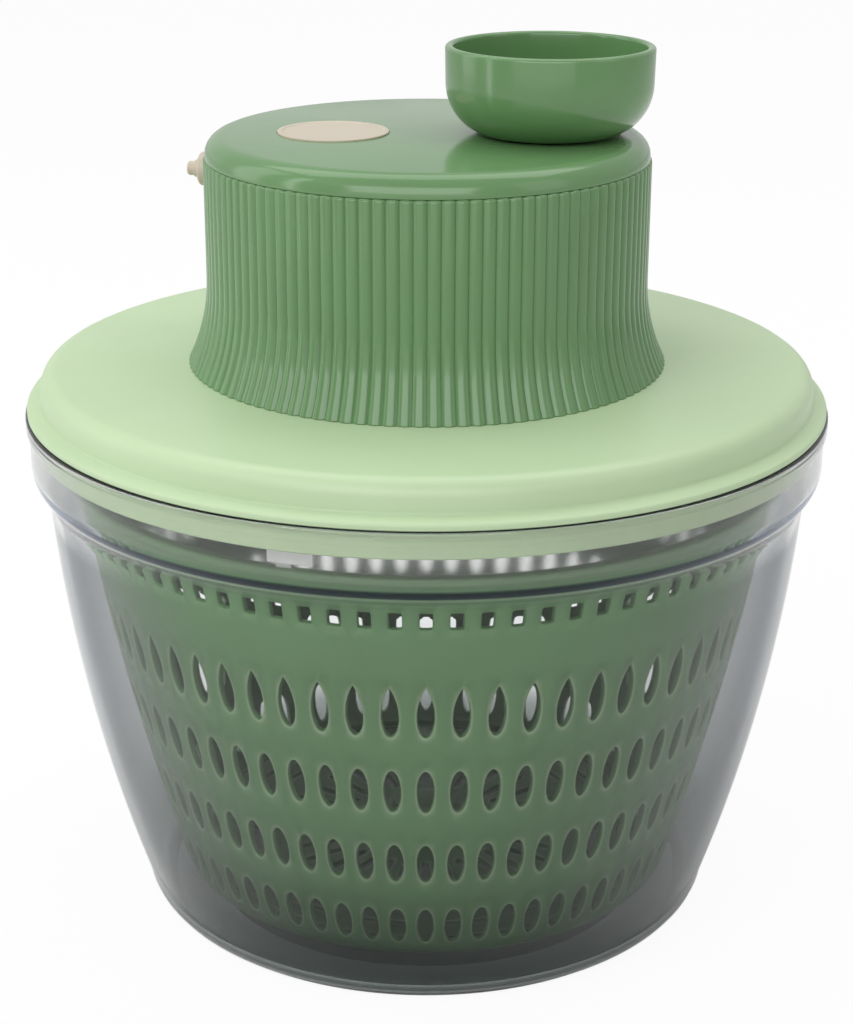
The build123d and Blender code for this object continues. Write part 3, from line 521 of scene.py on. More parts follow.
def perforated_tree():
    """Tree for one ring of holes with moulded edges in a wall or a floor.

    The ring lies between a low and a high circle. Five loops of points lead from the edge of
    each cell to its hole, through the wall, and back to the cell's edge on the other face. The
    attribute rim, which carries a painted highlight, rises to 1 at an oval's outer edge, and at a
    floor slot's upper edge.
    """
    tree, given = new_tree(
        "perforated_ring",
        {
            "Count": "Int",
            "Side steps": "Int",
            "Low radius": "Float",
            "Low height": "Float",
            "High radius": "Float",
            "High height": "Float",
            "Swell": "Float",
            "Hole place": "Float",
            "Hole length": "Float",
            "Hole width": "Float",
            "Oval": "Float",
            "Waist": "Float",
            "Top power": "Float",
            "Squareness": "Float",
            "Wall inward": "Float",
            "Wall upward": "Float",
            "Rounding": "Float",
            "Material": "Material",
        },
    )
    loops = 5
    grid, across, along = grid_fields(tree, given["Side steps"] * 4 + 1, loops)
    loop = (along * (loops - 1)).math("ROUND")

    def by_loop(*values):
        pick = tree.nodes.new("GeometryNodeIndexSwitch")
        pick.data_type = "FLOAT"
        while len(pick.index_switch_items) < len(values):
            pick.index_switch_items.new()
        plug(tree, loop, pick.inputs["Index"])
        for place, value in enumerate(values):
            plug(tree, value, pick.inputs[str(place)])
        return Field(tree, pick.outputs[0])

    # The way round a cell, 0 to 8, with a corner at each odd number and its top at 2
    way = (across * 8 + 1).wrapped(8)
    side_x = (abs(way - 4) - 2).between(-1, 1)
    side_y = (abs((way + 6).wrapped(8) - 4) - 2).between(-1, 1)

    # An oval whose top may be pointed above its waist, and a rounded square
    rise = (abs((way + 2).wrapped(8) - 4) / 2).from_one()
    lift = (rise * (pi / 2)).math("SINE")
    above = lift.math("GREATER_THAN", 0.0)
    waist = given["Waist"]
    fall_off = (above * -1 + 1) * 0.5 + above * given["Top power"]
    oval_x = side_x.math("SIGN") * (lift * lift).from_one().math("MAXIMUM", 0.0) ** fall_off
    oval_y = lift * waist.mixed(waist.from_one(), above) * 2 + waist * 2 - 1
    power = given["Squareness"]
    reach = (abs(side_x) ** power + abs(side_y) ** power) ** (power ** -1)
    oval = given["Oval"]
    hole_x = (side_x / reach).mixed(oval_x, oval)
    hole_y = (side_y / reach).mixed(oval_y, oval)

    edge = given["Rounding"]
    inward, upward = given["Wall inward"], given["Wall upward"]
    wall = inward + upward
    in_floor = upward / wall
    stand_off = by_loop(0.0, edge, 0.0, 0.0, 0.0)
    depth = by_loop(0.0, 0.0, edge, wall, wall) / wall
    at_side = by_loop(1.0, 0.0, 0.0, 0.0, 1.0)

    run = given["High radius"] - given["Low radius"]
    climb = given["High height"] - given["Low height"]
    span = abs(run).math("MAXIMUM", abs(climb))
    at_hole = given["Hole place"] + hole_y * (given["Hole length"] / 2 + stand_off) / span
    share = at_hole.mixed((side_y + 1) / 2, at_side)
    face_r = given["Low radius"] + run * share + given["Swell"] * share * share.from_one()
    face_z = given["Low height"] + climb * share
    hole_angle = hole_x * (given["Hole width"] / 2 + stand_off) / face_r
    angle = hole_angle.mixed(side_x * pi / given["Count"], at_side)
    # Marks the hole edges that get a painted highlight
    highlight_marked = field(
        tree,
        "GeometryNodeStoreNamedAttribute",
        {"Geometry": grid, "Name": "rim", "Value": by_loop(0.0, oval, oval * 0.8, in_floor, 0.0)},
        data_type="FLOAT",
        domain="POINT",
    )
    cell = placed_round(tree, highlight_marked, face_r - inward * depth, angle, face_z + upward * depth)

    points = field(
        tree, "GeometryNodeMeshLine", {"Count": given["Count"], "Offset": (0.0, 0.0, 0.0)}
    )
    turn = field(tree, "GeometryNodeInputIndex") * (2 * pi) / given["Count"]
    rotation = field(tree, "ShaderNodeCombineXYZ", {"Z": turn})
    ring = field(
        tree,
        "GeometryNodeInstanceOnPoints",
        {"Points": points, "Instance": cell, "Rotation": rotation},
    )
    end_tree(tree, ring, given["Material"])
    return tree


def copies_tree():
    """Tree that sets copies of one part evenly round the spin axis."""
    tree, given = new_tree(
        "copies_in_ring",
        {
            "Part": "Object",
            "Count": "Int",
            "Radius": "Float",
            "Start angle": "Float",
            "Height": "Float",
            "Material": "Material",
        },
    )
    part = field(tree, "GeometryNodeObjectInfo", {"Object": given["Part"]}, output="Geometry")
    points = field(
        tree, "GeometryNodeMeshLine", {"Count": given["Count"], "Offset": (0.0, 0.0, 0.0)}
    )
    turn = field(tree, "GeometryNodeInputIndex") * (2 * pi) / given["Count"] + given["Start angle"]
    spot = placed_round(tree, points, given["Radius"], turn, given["Height"])
    rotation = field(tree, "ShaderNodeCombineXYZ", {"Z": turn})
    ring = field(
        tree,
        "GeometryNodeInstanceOnPoints",
        {"Points": spot, "Instance": part, "Rotation": rotation},
    )
    end_tree(tree, ring, given["Material"])
    return tree


TREES = {}


def tree_for(maker):
    """The tree of one kind, made when it is first asked for."""
    if maker not in TREES:
        TREES[maker] = maker()
    return TREES[maker]


def arc_between(start, end, centre, steps=ARC_STEPS):
    """Points on the shorter arc from start to end about a centre."""
    first = Vector(start) - Vector(centre)
    last = Vector(end) - Vector(centre)
    from_angle = atan2(first.y, first.x)
    sweep = (atan2(last.y, last.x) - from_angle + pi) % (2 * pi) - pi
    return [
        (
            centre[0] + first.length * cos(from_angle + sweep * step / steps),
            centre[1] + first.length * sin(from_angle + sweep * step / steps),
        )
        for step in range(steps + 1)
    ]


def bulged(start, end, bulge, steps):
    """Points on an arc from start to end that swells to the right of its way."""
    chord = Vector(end) - Vector(start)
    radius = chord.length**2 / (8 * bulge) + bulge / 2
    middle = (Vector(start) + Vector(end)) / 2
    right = Vector((chord.y, -chord.x)).normalized()
    centre = middle - right * (radius - bulge)
    return arc_between(start, end, centre, steps)


def eased_step(start, end, steps):
    """Points on an S curve that leaves and arrives upright."""
    points = []
    for step in range(steps + 1):
        share = step / steps
        ease = share * share * (3 - 2 * share)
        lift = 1.5 * share * (1 - share) ** 2 + 1.5 * share**2 * (1 - share) + share**3
        points.append(
            (
                start[0] + (end[0] - start[0]) * ease,
                start[1] + (end[1] - start[1]) * lift,
            )
        )
    return points


def rounded(*corners):
    """Outline through (r, z) or (r, z, radius) corners, each turned by an arc of its radius."""
    path = []
    for place, corner in enumerate(corners):
        if len(corner) == 2:
            path.append(corner)
            continue
        here = Vector(corner[:2])
        back = (Vector(corners[place - 1][:2]) - here).normalized()
        ahead = (Vector(corners[place + 1][:2]) - here).normalized()
        half = back.angle(ahead) / 2
        reach = corner[2] / tan(half)
        centre = here + (back + ahead).normalized() * (corner[2] / sin(half))
        path.extend(arc_between(here + back * reach, here + ahead * reach, centre))
    return path


def turned(name, outline, steps, material, ribs=None, at=(0.0, 0.0)):
    """Object turned from an outline of (r, z) points about an upright axis.

    ribs is (count, groove depth, groove share, rib weight of each point).
    """
    count, depth, share, weights = ribs or (1, 0.0, 0.5, [0.0] * len(outline))
    mesh = bpy.data.meshes.new("outline")
    places = range(len(outline) - 1)
    mesh.from_pydata([(r, 0.0, z) for r, z in outline], [(p, p + 1) for p in places], [])
    mesh.attributes.new("rib", "FLOAT", "POINT").data.foreach_set("value", weights)
    guide = linked(bpy.data.objects.new("outline", mesh))
    form = grown(
        name,
        tree_for(turned_tree),
        {
            "Outline": guide,
            "Steps": steps,
            "Ribs": count,
            "Groove depth": depth,
            "Groove share": share,
            "Material": material,
        },
    )
    bpy.data.objects.remove(guide)
    form.data.transform(Matrix.Translation((*at, 0.0)))
    return cleaned(form)


def cut_from(obj, cutter, solver="EXACT", sharp=SHARP_EDGE):
    """Takes a cutter's volume out of an object, and removes the cutter."""
    cut = obj.modifiers.new("cut", "BOOLEAN")
    cut.operation = "DIFFERENCE"
    cut.solver = solver
    cut.object = cutter
    settled(obj)
    bpy.data.objects.remove(cutter)
    obj.data.set_sharp_from_angle(angle=sharp)
    return obj


def joined(name, parts, material):
    """One object from several, whose own objects are removed."""
    form = bmesh.new()
    for part in parts:
        form.from_mesh(part.data)
        bpy.data.objects.remove(part)
    mesh = mesh_from(form, name)
    mesh.materials.append(material)
    return linked(bpy.data.objects.new(name, mesh))


def block(size, matrix):
    """Box object of a size, placed by a matrix."""
    form = bmesh.new()
    bmesh.ops.create_cube(form, size=1.0, matrix=matrix @ Matrix.Diagonal((*size, 1.0)))
    return linked(bpy.data.objects.new("block", mesh_from(form, "block")))


def softened(node, material, width):
    """Copy of a CAD node with its edges rounded to a width."""
    copy = linked(bpy.data.objects.new(node + "_finished", frame["nodes"][node].data.copy()))
    form = bmesh.new()
    form.from_mesh(copy.data)
    bmesh.ops.remove_doubles(form, verts=form.verts, dist=WELD)
    bmesh.ops.dissolve_limit(form, angle_limit=FLAT, verts=form.verts, edges=form.edges)
    copy.data = mesh_from(form, copy.name)
    copy.data.materials.append(material)
    bevel = copy.modifiers.new("edges", "BEVEL")
    bevel.width = width
    bevel.segments = 2
    bevel.limit_method = "ANGLE"
    bevel.angle_limit = SHARP_EDGE
    bevel.use_clamp_overlap = True
    return smoothed(settled(copy))


def finished(obj, node, body):
    """Lets an object stand for a CAD node on its body, with the node's finish."""
    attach(obj, body)
    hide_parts(node)
    return obj


# Materials


def new_material(name):
    """Material with one Principled shader, and its tree and shader."""
    material = bpy.data.materials.new(name)
    material.use_nodes = True
    tree = material.node_tree
    return material, tree, tree.nodes["Principled BSDF"]


# Middle of a noise's range
NOISE_LOW, NOISE_HIGH = 0.3, 0.7

# Moulded plastic: grain of its flow clouds and smears, depth of its skin, and the painted highlight
# colour of a hole's edge with the power by which it fades
FLOW_GRAIN = (22, 4)
SMEAR_GRAIN = (18, 5)
PEEL_DEPTH = 0.03 * MM
HOLE_EDGE_HIGHLIGHT = (0.52, 0.60, 0.42)
HOLE_HIGHLIGHT_POWER = 7

# Clear bowl: clearness over the share of its height, darker towards the bottom as painted shade of the shadowed
# floor seen through the thick base, with the waves of that shade's edge
BASE_SHADE_CURVE = (
    (0.08, 0.0),
    (0.1, 0.06),
    (0.127, 0.26),
    (0.178, 0.74),
    (0.29, 0.9),
    (0.46, 0.97),
    (0.65, 1.0),
)
WAVE_GRAIN = (9, 2)
WAVE_HEIGHT = 3 * MM
# Slants between which the wall turns grey with painted shade of the dark surroundings seen through it, and the
# heights over which that grey fades and stays
SLANT_SHADE_RANGE = (0.16, 0.76)
SLANT_SHADE_FADE = (126 * MM, 132 * MM)
SLANT_SHADE_LEFT = 0.25
# Heights over which the collar's haze and its painted shade begin, and how much rougher and brighter the haze is
HAZE_START = (140.5 * MM, 143 * MM)
WALL_ROUGHNESS, HAZE_ROUGHNESS = 0.02, 0.07
WALL_GLINT, HAZE_GLINT = 0.3, 0.7
# Painted shade lines at the step and the rim, standing in for the dark edges that refraction shows there, as (low,
# high, most)
PAINTED_SHADE_LINES = ((138.3 * MM, 140.9 * MM, 0.97), (157.2 * MM, 158.2 * MM, 0.8))
PAINTED_LINE_CORE = 0.6
PAINTED_LINE_TINT = (0.020, 0.045, 0.110)
STYRENE_IOR = 1.49
FLOW_MARKS = (14, 2)
FLOW_MARK_DEPTH = 0.25 * MM
FLOW_MARK_STRENGTH = 0.12

# Plated steel: grain and stretch of its turning marks, and grain of its smears
MARK_GRAIN = (160, 3, (1, 1, 14))
MARK_DEPTH = 0.01 * MM
MARK_STRENGTH = 0.3
STEEL_SMEAR_GRAIN = (40, 4)
STEEL_ROUGHNESS = 0.28


def noise(tree, scale, detail=2.0, stretch=None):
    """Noise on the piece's own coordinates, drawn out by a stretch where one is given."""
    place = field(tree, "ShaderNodeTexCoord", output="Object")
    if stretch:
        place = field(tree, "ShaderNodeMapping", {"Vector": place, "Scale": stretch})
    return field(
        tree, "ShaderNodeTexNoise", {"Vector": place, "Scale": scale, "Detail": detail}
    )


def ranged(tree, value, low, high, to_low, to_high):
    """Value moved from one range to another, and held inside it."""
    return field(
        tree,
        "ShaderNodeMapRange",
        {"Value": value, "From Min": low, "From Max": high, "To Min": to_low, "To Max": to_high},
    )


def spread(tree, grain, low, high, start=NOISE_LOW):
    """Noise of a grain, (scale, detail), whose middle range is spread from low to high."""
    return ranged(tree, noise(tree, *grain), start, NOISE_HIGH, low, high)


def varied(tree, colour, value):
    """A colour made darker or lighter by a value round 1."""
    return field(tree, "ShaderNodeHueSaturation", {"Value": value, "Color": (*colour, 1.0)})


def bumped(tree, shader, height, distance, strength):
    """Gives a shader a bumpy skin."""
    bump = field(
        tree, "ShaderNodeBump", {"Distance": distance, "Strength": strength, "Height": height}
    )
    plug(tree, bump, shader.inputs["Normal"])


def moulded_plastic(name, colour, roughness, mottle=0.05, peel=0.1, peel_scale=700, rim=0.0):
    """Opaque moulded plastic: faint flow clouds, an orange-peel skin and handling smears.

    rim is how strongly a painted highlight pales the edges of moulded holes.
    """
    material, tree, shader = new_material(name)
    tinted = varied(tree, colour, spread(tree, FLOW_GRAIN, 1 - mottle, 1 + mottle))
    smears = spread(tree, SMEAR_GRAIN, -0.03, 0.06, start=0.35)
    if rim:
        # Painted highlight on the edges of moulded holes
        edge = field(tree, "ShaderNodeAttribute", output="Fac", attribute_name="rim")
        tinted = blended(tree, tinted.socket, HOLE_EDGE_HIGHLIGHT, edge**HOLE_HIGHLIGHT_POWER * rim)
    plug(tree, tinted, shader.inputs["Base Color"])
    plug(tree, smears + roughness, shader.inputs["Roughness"])
    bumped(tree, shader, noise(tree, peel_scale), PEEL_DEPTH, peel)
    return material


def blended(tree, first, second, share):
    """First colour where share is 0, and second where it is 1."""
    mix = add_node(tree, "ShaderNodeMix", {"Factor": share}, data_type="RGBA")
    for value, place in ((first, 6), (second, 7)):
        is_link = isinstance(value, bpy.types.NodeSocket)
        plug(tree, value if is_link else (*value, 1.0), mix.inputs[place])
    return mix.outputs[2]


def clear_plastic(name, tint, collar_shade_tint, slant_shade_tint, base_shade_tint):
    """Clear styrene with painted shade: darker in its base, grey at a slant, greyer in its hazy collar, and
    painted dark lines at the step and the rim.
    """
    material, tree, shader = new_material(name)
    place = field(tree, "ShaderNodeTexCoord", output="Object")
    height = field(tree, "ShaderNodeSeparateXYZ", {0: place}, output="Z")
    waves = spread(tree, WAVE_GRAIN, -WAVE_HEIGHT, WAVE_HEIGHT)
    # Painted shade: the wall darkens towards the base as if the shadowed floor showed through it
    base_shade_ramp = add_node(tree, "ShaderNodeFloatCurve", {"Value": (height + waves) / BOWL_TOP.z})
    shape = base_shade_ramp.mapping.curves[0]
    first, *between, last = BASE_SHADE_CURVE
    shape.points[0].location = first
    shape.points[1].location = last
    for spot in between:
        shape.points.new(*spot)
    base_shade_ramp.mapping.update()
    # Painted shade: the wall greys at a slant, less so above the step
    slant = field(tree, "ShaderNodeLayerWeight", {"Blend": 0.5}, output="Facing")
    slant_shade = ranged(tree, slant, *SLANT_SHADE_RANGE, 0.0, 1.0)
    slant_shade = slant_shade * ranged(tree, height, *SLANT_SHADE_FADE, 1.0, SLANT_SHADE_LEFT)
    # The collar's haze, and its painted shade that greys what shows through it
    haze_and_shade = ranged(tree, height, *HAZE_START, 0.0, 1.0)
    tinted = blended(tree, tint, collar_shade_tint, haze_and_shade)
    tinted = blended(tree, tinted, slant_shade_tint, slant_shade)
    tinted = blended(tree, base_shade_tint, tinted, base_shade_ramp.outputs[0])
    # Painted shade: dark lines at the step and the rim
    for low, high, most in PAINTED_SHADE_LINES:
        middle, half = (low + high) / 2, (high - low) / 2
        shade_line_share = ranged(tree, abs(height - middle), half * PAINTED_LINE_CORE, half, most, 0.0)
        tinted = blended(tree, tinted, PAINTED_LINE_TINT, shade_line_share)
    plug(tree, tinted, shader.inputs["Base Color"])
    plug(tree, haze_and_shade * HAZE_ROUGHNESS + WALL_ROUGHNESS, shader.inputs["Roughness"])
    plug(tree, haze_and_shade * HAZE_GLINT + WALL_GLINT, shader.inputs["Specular Tint"])
    shader.inputs["IOR"].default_value = STYRENE_IOR
    shader.inputs["Transmission Weight"].default_value = 1.0
    bumped(tree, shader, noise(tree, *FLOW_MARKS), FLOW_MARK_DEPTH, FLOW_MARK_STRENGTH)
    path = add_node(tree, "ShaderNodeLightPath")
    open_way = add_node(tree, "ShaderNodeBsdfTransparent")
    plug(tree, tinted, open_way.inputs["Color"])
    both = add_node(
        tree,
        "ShaderNodeMixShader",
        {0: path.outputs["Is Shadow Ray"], 1: shader.outputs[0], 2: open_way.outputs[0]},
    )
    plug(tree, both.outputs[0], tree.nodes["Material Output"].inputs["Surface"])
    return material


def turned_steel(name, colour):
    """Plated steel with fine turning marks and handling smears."""
    material, tree, shader = new_material(name)
    marks = noise(tree, *MARK_GRAIN)
    smears = spread(tree, STEEL_SMEAR_GRAIN, -0.06, 0.08)
    tinted = varied(tree, colour, ranged(tree, marks, NOISE_LOW, NOISE_HIGH, 0.9, 1.08))
    plug(tree, tinted, shader.inputs["Base Color"])
    plug(tree, smears + STEEL_ROUGHNESS, shader.inputs["Roughness"])
    shader.inputs["Metallic"].default_value = 1.0
    bumped(tree, shader, marks, MARK_DEPTH, MARK_STRENGTH)
    return material


MATERIALS = {}


def make_materials(colours):
    """One material for each finish that the record names."""
    MATERIALS.update(
        clear_plastic=clear_plastic(
            "clear_plastic_look",
            colours.clear,
            colours.clear_collar_shade,
            colours.clear_slant_shade,
            colours.clear_base_shade,
        ),
        # The basket's hole edges get a painted highlight
        basket_plastic=moulded_plastic(
            "basket_plastic_look", colours.basket, 0.33, peel=0.015, rim=0.4
        ),
        lid_plastic=moulded_plastic("lid_plastic_look", colours.lid, 0.4, 0.025, 0.25),
        green_plastic=moulded_plastic("green_plastic_look", colours.green, 0.14),
        cream_plastic=moulded_plastic("cream_plastic_look", colours.cream, 0.33, 0.04),
        white_plastic=moulded_plastic("white_plastic_look", colours.white, 0.38, 0.03),
        steel=turned_steel("steel_look", colours.steel),
        rubber_pad=moulded_plastic("rubber_look", colours.rubber, 0.7, 0.2, 0.9, 500),
    )


def look(node):
    """The material of a CAD node's finish."""
    return MATERIALS[SLOT_OF[node]]


# Operators


class SPINNER_OT_materials(bpy.types.Operator):
    """Makes the finishes and gives them to the frame's nodes"""

    bl_idname = "spinner.materials"
    bl_label = "Materials"

    def execute(self, context):
        make_materials(context.scene.spinner_colours)
        for name, obj in frame["nodes"].items():
            for slot in obj.material_slots:
                slot.material = look(name)
        return {"FINISHED"}


class SPINNER_OT_bowl(bpy.types.Operator):
    """Turns the clear bowl with its collar, rim bead and bearing spigot"""

    bl_idname = "spinner.bowl"
    bl_label = "Bowl"

    foot_r = 89.5 * MM
    foot_round = 8.0 * MM
    floor = 3.0 * MM
    bead = 1.0 * MM
    bead_height = 4.0 * MM
    rim_round = 0.8 * MM
    collar_height = 15.0 * MM
    step_depth = 4.7 * MM
    step_height = 11.0 * MM
    recess_r = 68.0 * MM
    recess_depth = 1.0 * MM
    spigot_r = 5.0 * MM
    spigot_root_r = 9.0 * MM
    spigot_gap = 0.3 * MM
    spigot_short = 2.6 * MM
    bead_root_round = 0.4 * MM
    bead_edge_round = 0.3 * MM
    recess_round = 0.5 * MM
    spigot_root_round = 1.0 * MM
    spigot_top_round = 0.6 * MM
    side_steps = 28
    step_steps = 16
    steps = 224

    def side(self, inset, low_z, corner, bulge):
        """The wall from the floor's corner up to the collar's foot, drawn in by an inset."""
        foot = self.foot_r - inset
        collar = BOWL_TOP.x - self.bead - inset
        collar_z = BOWL_TOP.z - self.collar_height
        body = (collar - self.step_depth, collar_z - self.step_height)
        start = (foot, low_z + corner)
        turn = arc_between((foot - corner, low_z), start, (foot - corner, low_z + corner))
        return (
            turn
            + bulged(start, body, bulge, self.side_steps)[1:]
            + eased_step(body, (collar, collar_z), self.step_steps)[1:]
        )

    def execute(self, context):
        sizes = context.scene.spinner_sizes
        wall = sizes.bowl_wall
        rim_z = BOWL_TOP.z
        collar = BOWL_TOP.x - self.bead
        bead_z = rim_z - self.bead_height
        outer = self.side(0.0, 0.0, self.foot_round, sizes.bowl_bulge)
        inner = self.side(wall, self.floor, self.foot_round - wall, sizes.bowl_bulge)
        rim = rounded(
            outer[-1],
            (collar, bead_z, self.bead_root_round),
            (BOWL_TOP.x, bead_z, self.bead_edge_round),
            (BOWL_TOP.x, rim_z, self.rim_round),
            (collar - wall, rim_z, self.rim_round),
            inner[-1],
        )
        foot = rounded(
            (0.0, self.recess_depth),
            (self.recess_r, self.recess_depth, self.recess_round),
            (self.recess_r + self.recess_depth, 0.0, self.recess_round),
            outer[0],
        )
        spigot_top = BEARING_TOP.z - self.spigot_short
        spigot = rounded(
            inner[0],
            (self.spigot_root_r, self.floor, self.spigot_root_round),
            (self.spigot_r, BEARING_LOW.z - self.spigot_gap),
            (self.spigot_r, spigot_top, self.spigot_top_round),
            (0.0, spigot_top),
        )
        outline = foot + outer[1:] + rim[1:] + inner[::-1][1:] + spigot[1:]
        bowl = turned("bowl_clear", outline, self.steps, look("bowl"))
        finished(bowl, "bowl", "bowl")
        return {"FINISHED"}


class SPINNER_OT_basket(bpy.types.Operator):
    """Grows the basket: rows of holes, a slotted floor, a rim with notches and a hub"""

    bl_idname = "spinner.basket"
    bl_label = "Basket"

    low_r = 77.5 * MM
    top_r = 106.0 * MM
    floor_z = 10.5 * MM
    corner_round = 4.0 * MM
    bead_height = 2.5 * MM
    oval_places = (98.2 * MM, 71.68 * MM, 45.99 * MM, 22.2 * MM)
    oval_lengths = (16.0 * MM, 14.2 * MM, 13.4 * MM, 12.8 * MM)
    # Share of an oval's length below its waist, and power of its top
    leaf = (0.42, 0.95)
    plain = (0.5, 0.5)
    square_place = 127.3 * MM
    square_length = 5.6 * MM
    square_width = 3.6 * MM
    square_power = 14.0
    wall_foot = 14.5 * MM
    ovals_end = 110.0 * MM
    squares_start = 121.0 * MM
    rim_start = 135.0 * MM
    hub_r = 12.0 * MM
    hub_edge = 24.0 * MM
    hub_bore = 8.05 * MM
    hub_top = 19.8 * MM
    hub_root_round = 0.6 * MM
    hub_edge_round = 0.4 * MM
    hub_top_round = 0.6 * MM
    hub_fillet = 0.8 * MM
    corner_ease = 0.6 * MM
    inside_round = 1.0 * MM
    bead_low_round = 0.5 * MM
    bead_top_round = 1.0 * MM
    lip_round = 0.6 * MM
    radial_slot_count = 32
    radial_slot_place = 36.0 * MM
    radial_slot_length = 20.0 * MM
    radial_slot_width = 3.0 * MM
    radial_slot_power = 4.0
    spoke_count = 16
    spoke_width = 5.0 * MM
    ring_slot_width = 2.0 * MM
    ring_slot_power = 14.0
    ring_slot_places = (55.0 * MM, 63.0 * MM, 71.0 * MM)
    ring_slot_edges = (48.5 * MM, 59.0 * MM, 67.0 * MM, 73.5 * MM)
    notch_angle = 250.5
    notch_count = 3
    notch_side = -2.3 * MM
    notch_width = 5.6 * MM
    notch_depth = 2.3 * MM
    notch_reach = 4.0 * MM
    oval_steps = 6
    square_steps = 4
    face_margin = 1.0 * MM
    sharp_edge = radians(60)

    def arc(self):
        """Radius and (r, z) centre of the arc along which the wall swells."""
        bulge = bpy.context.scene.spinner_sizes.basket_bulge
        low, high = Vector((self.low_r, self.floor_z)), Vector((self.top_r, BASKET_TOP.z))
        chord = high - low
        radius = chord.length**2 / (8 * bulge) + bulge / 2
        inward = Vector((-chord.y, chord.x)).normalized()
        return radius, (low + high) / 2 + inward * (radius - bulge)

    def wall_r(self, z):
        """Outer radius of the wall at a height."""
        radius, centre = self.arc()
        return centre.x + sqrt(radius**2 - (z - centre.y) ** 2)

    def ring(self, sizes, count, low, high, place, length, width, steps, oval=None, squareness=9.0):
        """One ring of holes between two (r, z) circles, with its holes centred at a place.

        oval is leaf or plain, for oval holes. Other holes are squares of a squareness.
        """
        upright = low[1] != high[1]
        start, end = (low[1], high[1]) if upright else (low[0], high[0])
        chord = (Vector(high) - Vector(low)).length
        waist, top_power = oval or self.plain
        values = {
            "Count": count,
            "Side steps": steps,
            "Low radius": low[0],
            "Low height": low[1],
            "High radius": high[0],
            "High height": high[1],
            "Swell": chord**2 / (2 * self.arc()[0]) if upright else 0.0,
            "Hole place": (place - start) / (end - start),
            "Hole length": length,
            "Hole width": width,
            "Oval": 1.0 if oval else 0.0,
            "Waist": waist,
            "Top power": top_power,
            "Squareness": squareness,
            "Wall inward": sizes.basket_wall if upright else 0.0,
            "Wall upward": 0.0 if upright else sizes.basket_wall,
            "Rounding": sizes.hole_round,
            "Material": look("basket"),
        }
        return grown("ring", tree_for(perforated_tree), values)

    def rings_of_holes(self, sizes):
        """Four rings of ovals and one of squares, and on the floor radial slots and ring slots."""
        middles = [(a + b) / 2 for a, b in zip(self.oval_places, self.oval_places[1:])]
        edges = [self.ovals_end, *middles, self.wall_foot]
        for place, length, high, low in zip(
            self.oval_places, self.oval_lengths, edges, edges[1:]
        ):
            yield self.ring(
                sizes, sizes.oval_count, (self.wall_r(low), low), (self.wall_r(high), high),
                place, length, sizes.oval_width, self.oval_steps,
                oval=self.leaf if place == self.oval_places[0] else self.plain,
            )
        low, high = self.squares_start, self.rim_start
        yield self.ring(
            sizes, sizes.square_count, (self.wall_r(low), low), (self.wall_r(high), high),
            self.square_place, self.square_length, self.square_width, self.square_steps,
            squareness=self.square_power,
        )
        columns = sizes.oval_count * self.oval_steps
        edges = self.ring_slot_edges
        count = self.radial_slot_count
        yield self.ring(
            sizes, count, (self.hub_edge, self.floor_z), (edges[0], self.floor_z),
            self.radial_slot_place, self.radial_slot_length, self.radial_slot_width,
            columns // count, squareness=self.radial_slot_power,
        )
        count = self.spoke_count
        for place, low, high in zip(self.ring_slot_places, edges, edges[1:]):
            width = 2 * pi * place / count - self.spoke_width
            slots = self.ring(
                sizes, count, (low, self.floor_z), (high, self.floor_z),
                place, self.ring_slot_width, width, columns // count,
                squareness=self.ring_slot_power,
            )
            slots.data.transform(Matrix.Rotation(pi / count, 4, "Z"))
            yield slots

    def plain_strips(self, sizes):
        """The turned strips that join the rings: hub, floor corner and rim."""
        wall = sizes.basket_wall
        floor_top = self.floor_z + wall
        columns = sizes.oval_count * self.oval_steps
        rim_columns = sizes.square_count * self.square_steps
        material = look("basket")
        hub = rounded(
            (self.hub_edge, self.floor_z),
            (self.hub_r, self.floor_z, self.hub_root_round),
            (self.hub_r, BASKET_LOW.z, self.hub_edge_round),
            (self.hub_bore, BASKET_LOW.z, self.hub_edge_round),
            (self.hub_bore, self.hub_top, self.hub_edge_round),
            (self.hub_r, self.hub_top, self.hub_top_round),
            (self.hub_r, floor_top, self.hub_fillet),
            (self.hub_edge, floor_top),
        )
        outside = rounded(
            (self.ring_slot_edges[-1], self.floor_z),
            (self.low_r, self.floor_z, self.corner_round - self.corner_ease),
            (self.wall_r(self.wall_foot), self.wall_foot),
        )
        inside = rounded(
            (self.ring_slot_edges[-1], floor_top),
            (self.wall_r(floor_top) - wall, floor_top, self.inside_round),
            (self.wall_r(self.wall_foot) - wall, self.wall_foot),
        )
        bead_z = BASKET_TOP.z - self.bead_height
        rim = rounded(
            (self.wall_r(self.rim_start), self.rim_start),
            (self.wall_r(bead_z), bead_z, self.bead_low_round),
            (BASKET_TOP.x, bead_z, self.bead_low_round),
            (BASKET_TOP.x, BASKET_TOP.z, self.bead_top_round),
            (self.top_r - wall, BASKET_TOP.z, self.lip_round),
            (self.wall_r(self.rim_start) - wall, self.rim_start),
        )
        for outline in (hub, outside, inside):
            yield turned("strip", outline, columns, material)
        yield turned("strip", rim, rim_columns, material)

    def bridge(self, basket):
        """Closes the plain band between the ovals and the squares on both faces."""
        form = bmesh.new()
        form.from_mesh(basket.data)
        bmesh.ops.remove_doubles(form, verts=form.verts, dist=WELD)
        faces = {True: [], False: []}
        for edge in form.edges:
            if edge.is_boundary:
                middle = (edge.verts[0].co + edge.verts[1].co) / 2
                outside = hypot(middle.x, middle.y) > self.wall_r(middle.z) - self.face_margin
                faces[outside].append(edge)
        for edges in faces.values():
            bmesh.ops.bridge_loops(form, edges=edges)
        form.to_mesh(basket.data)
        form.free()

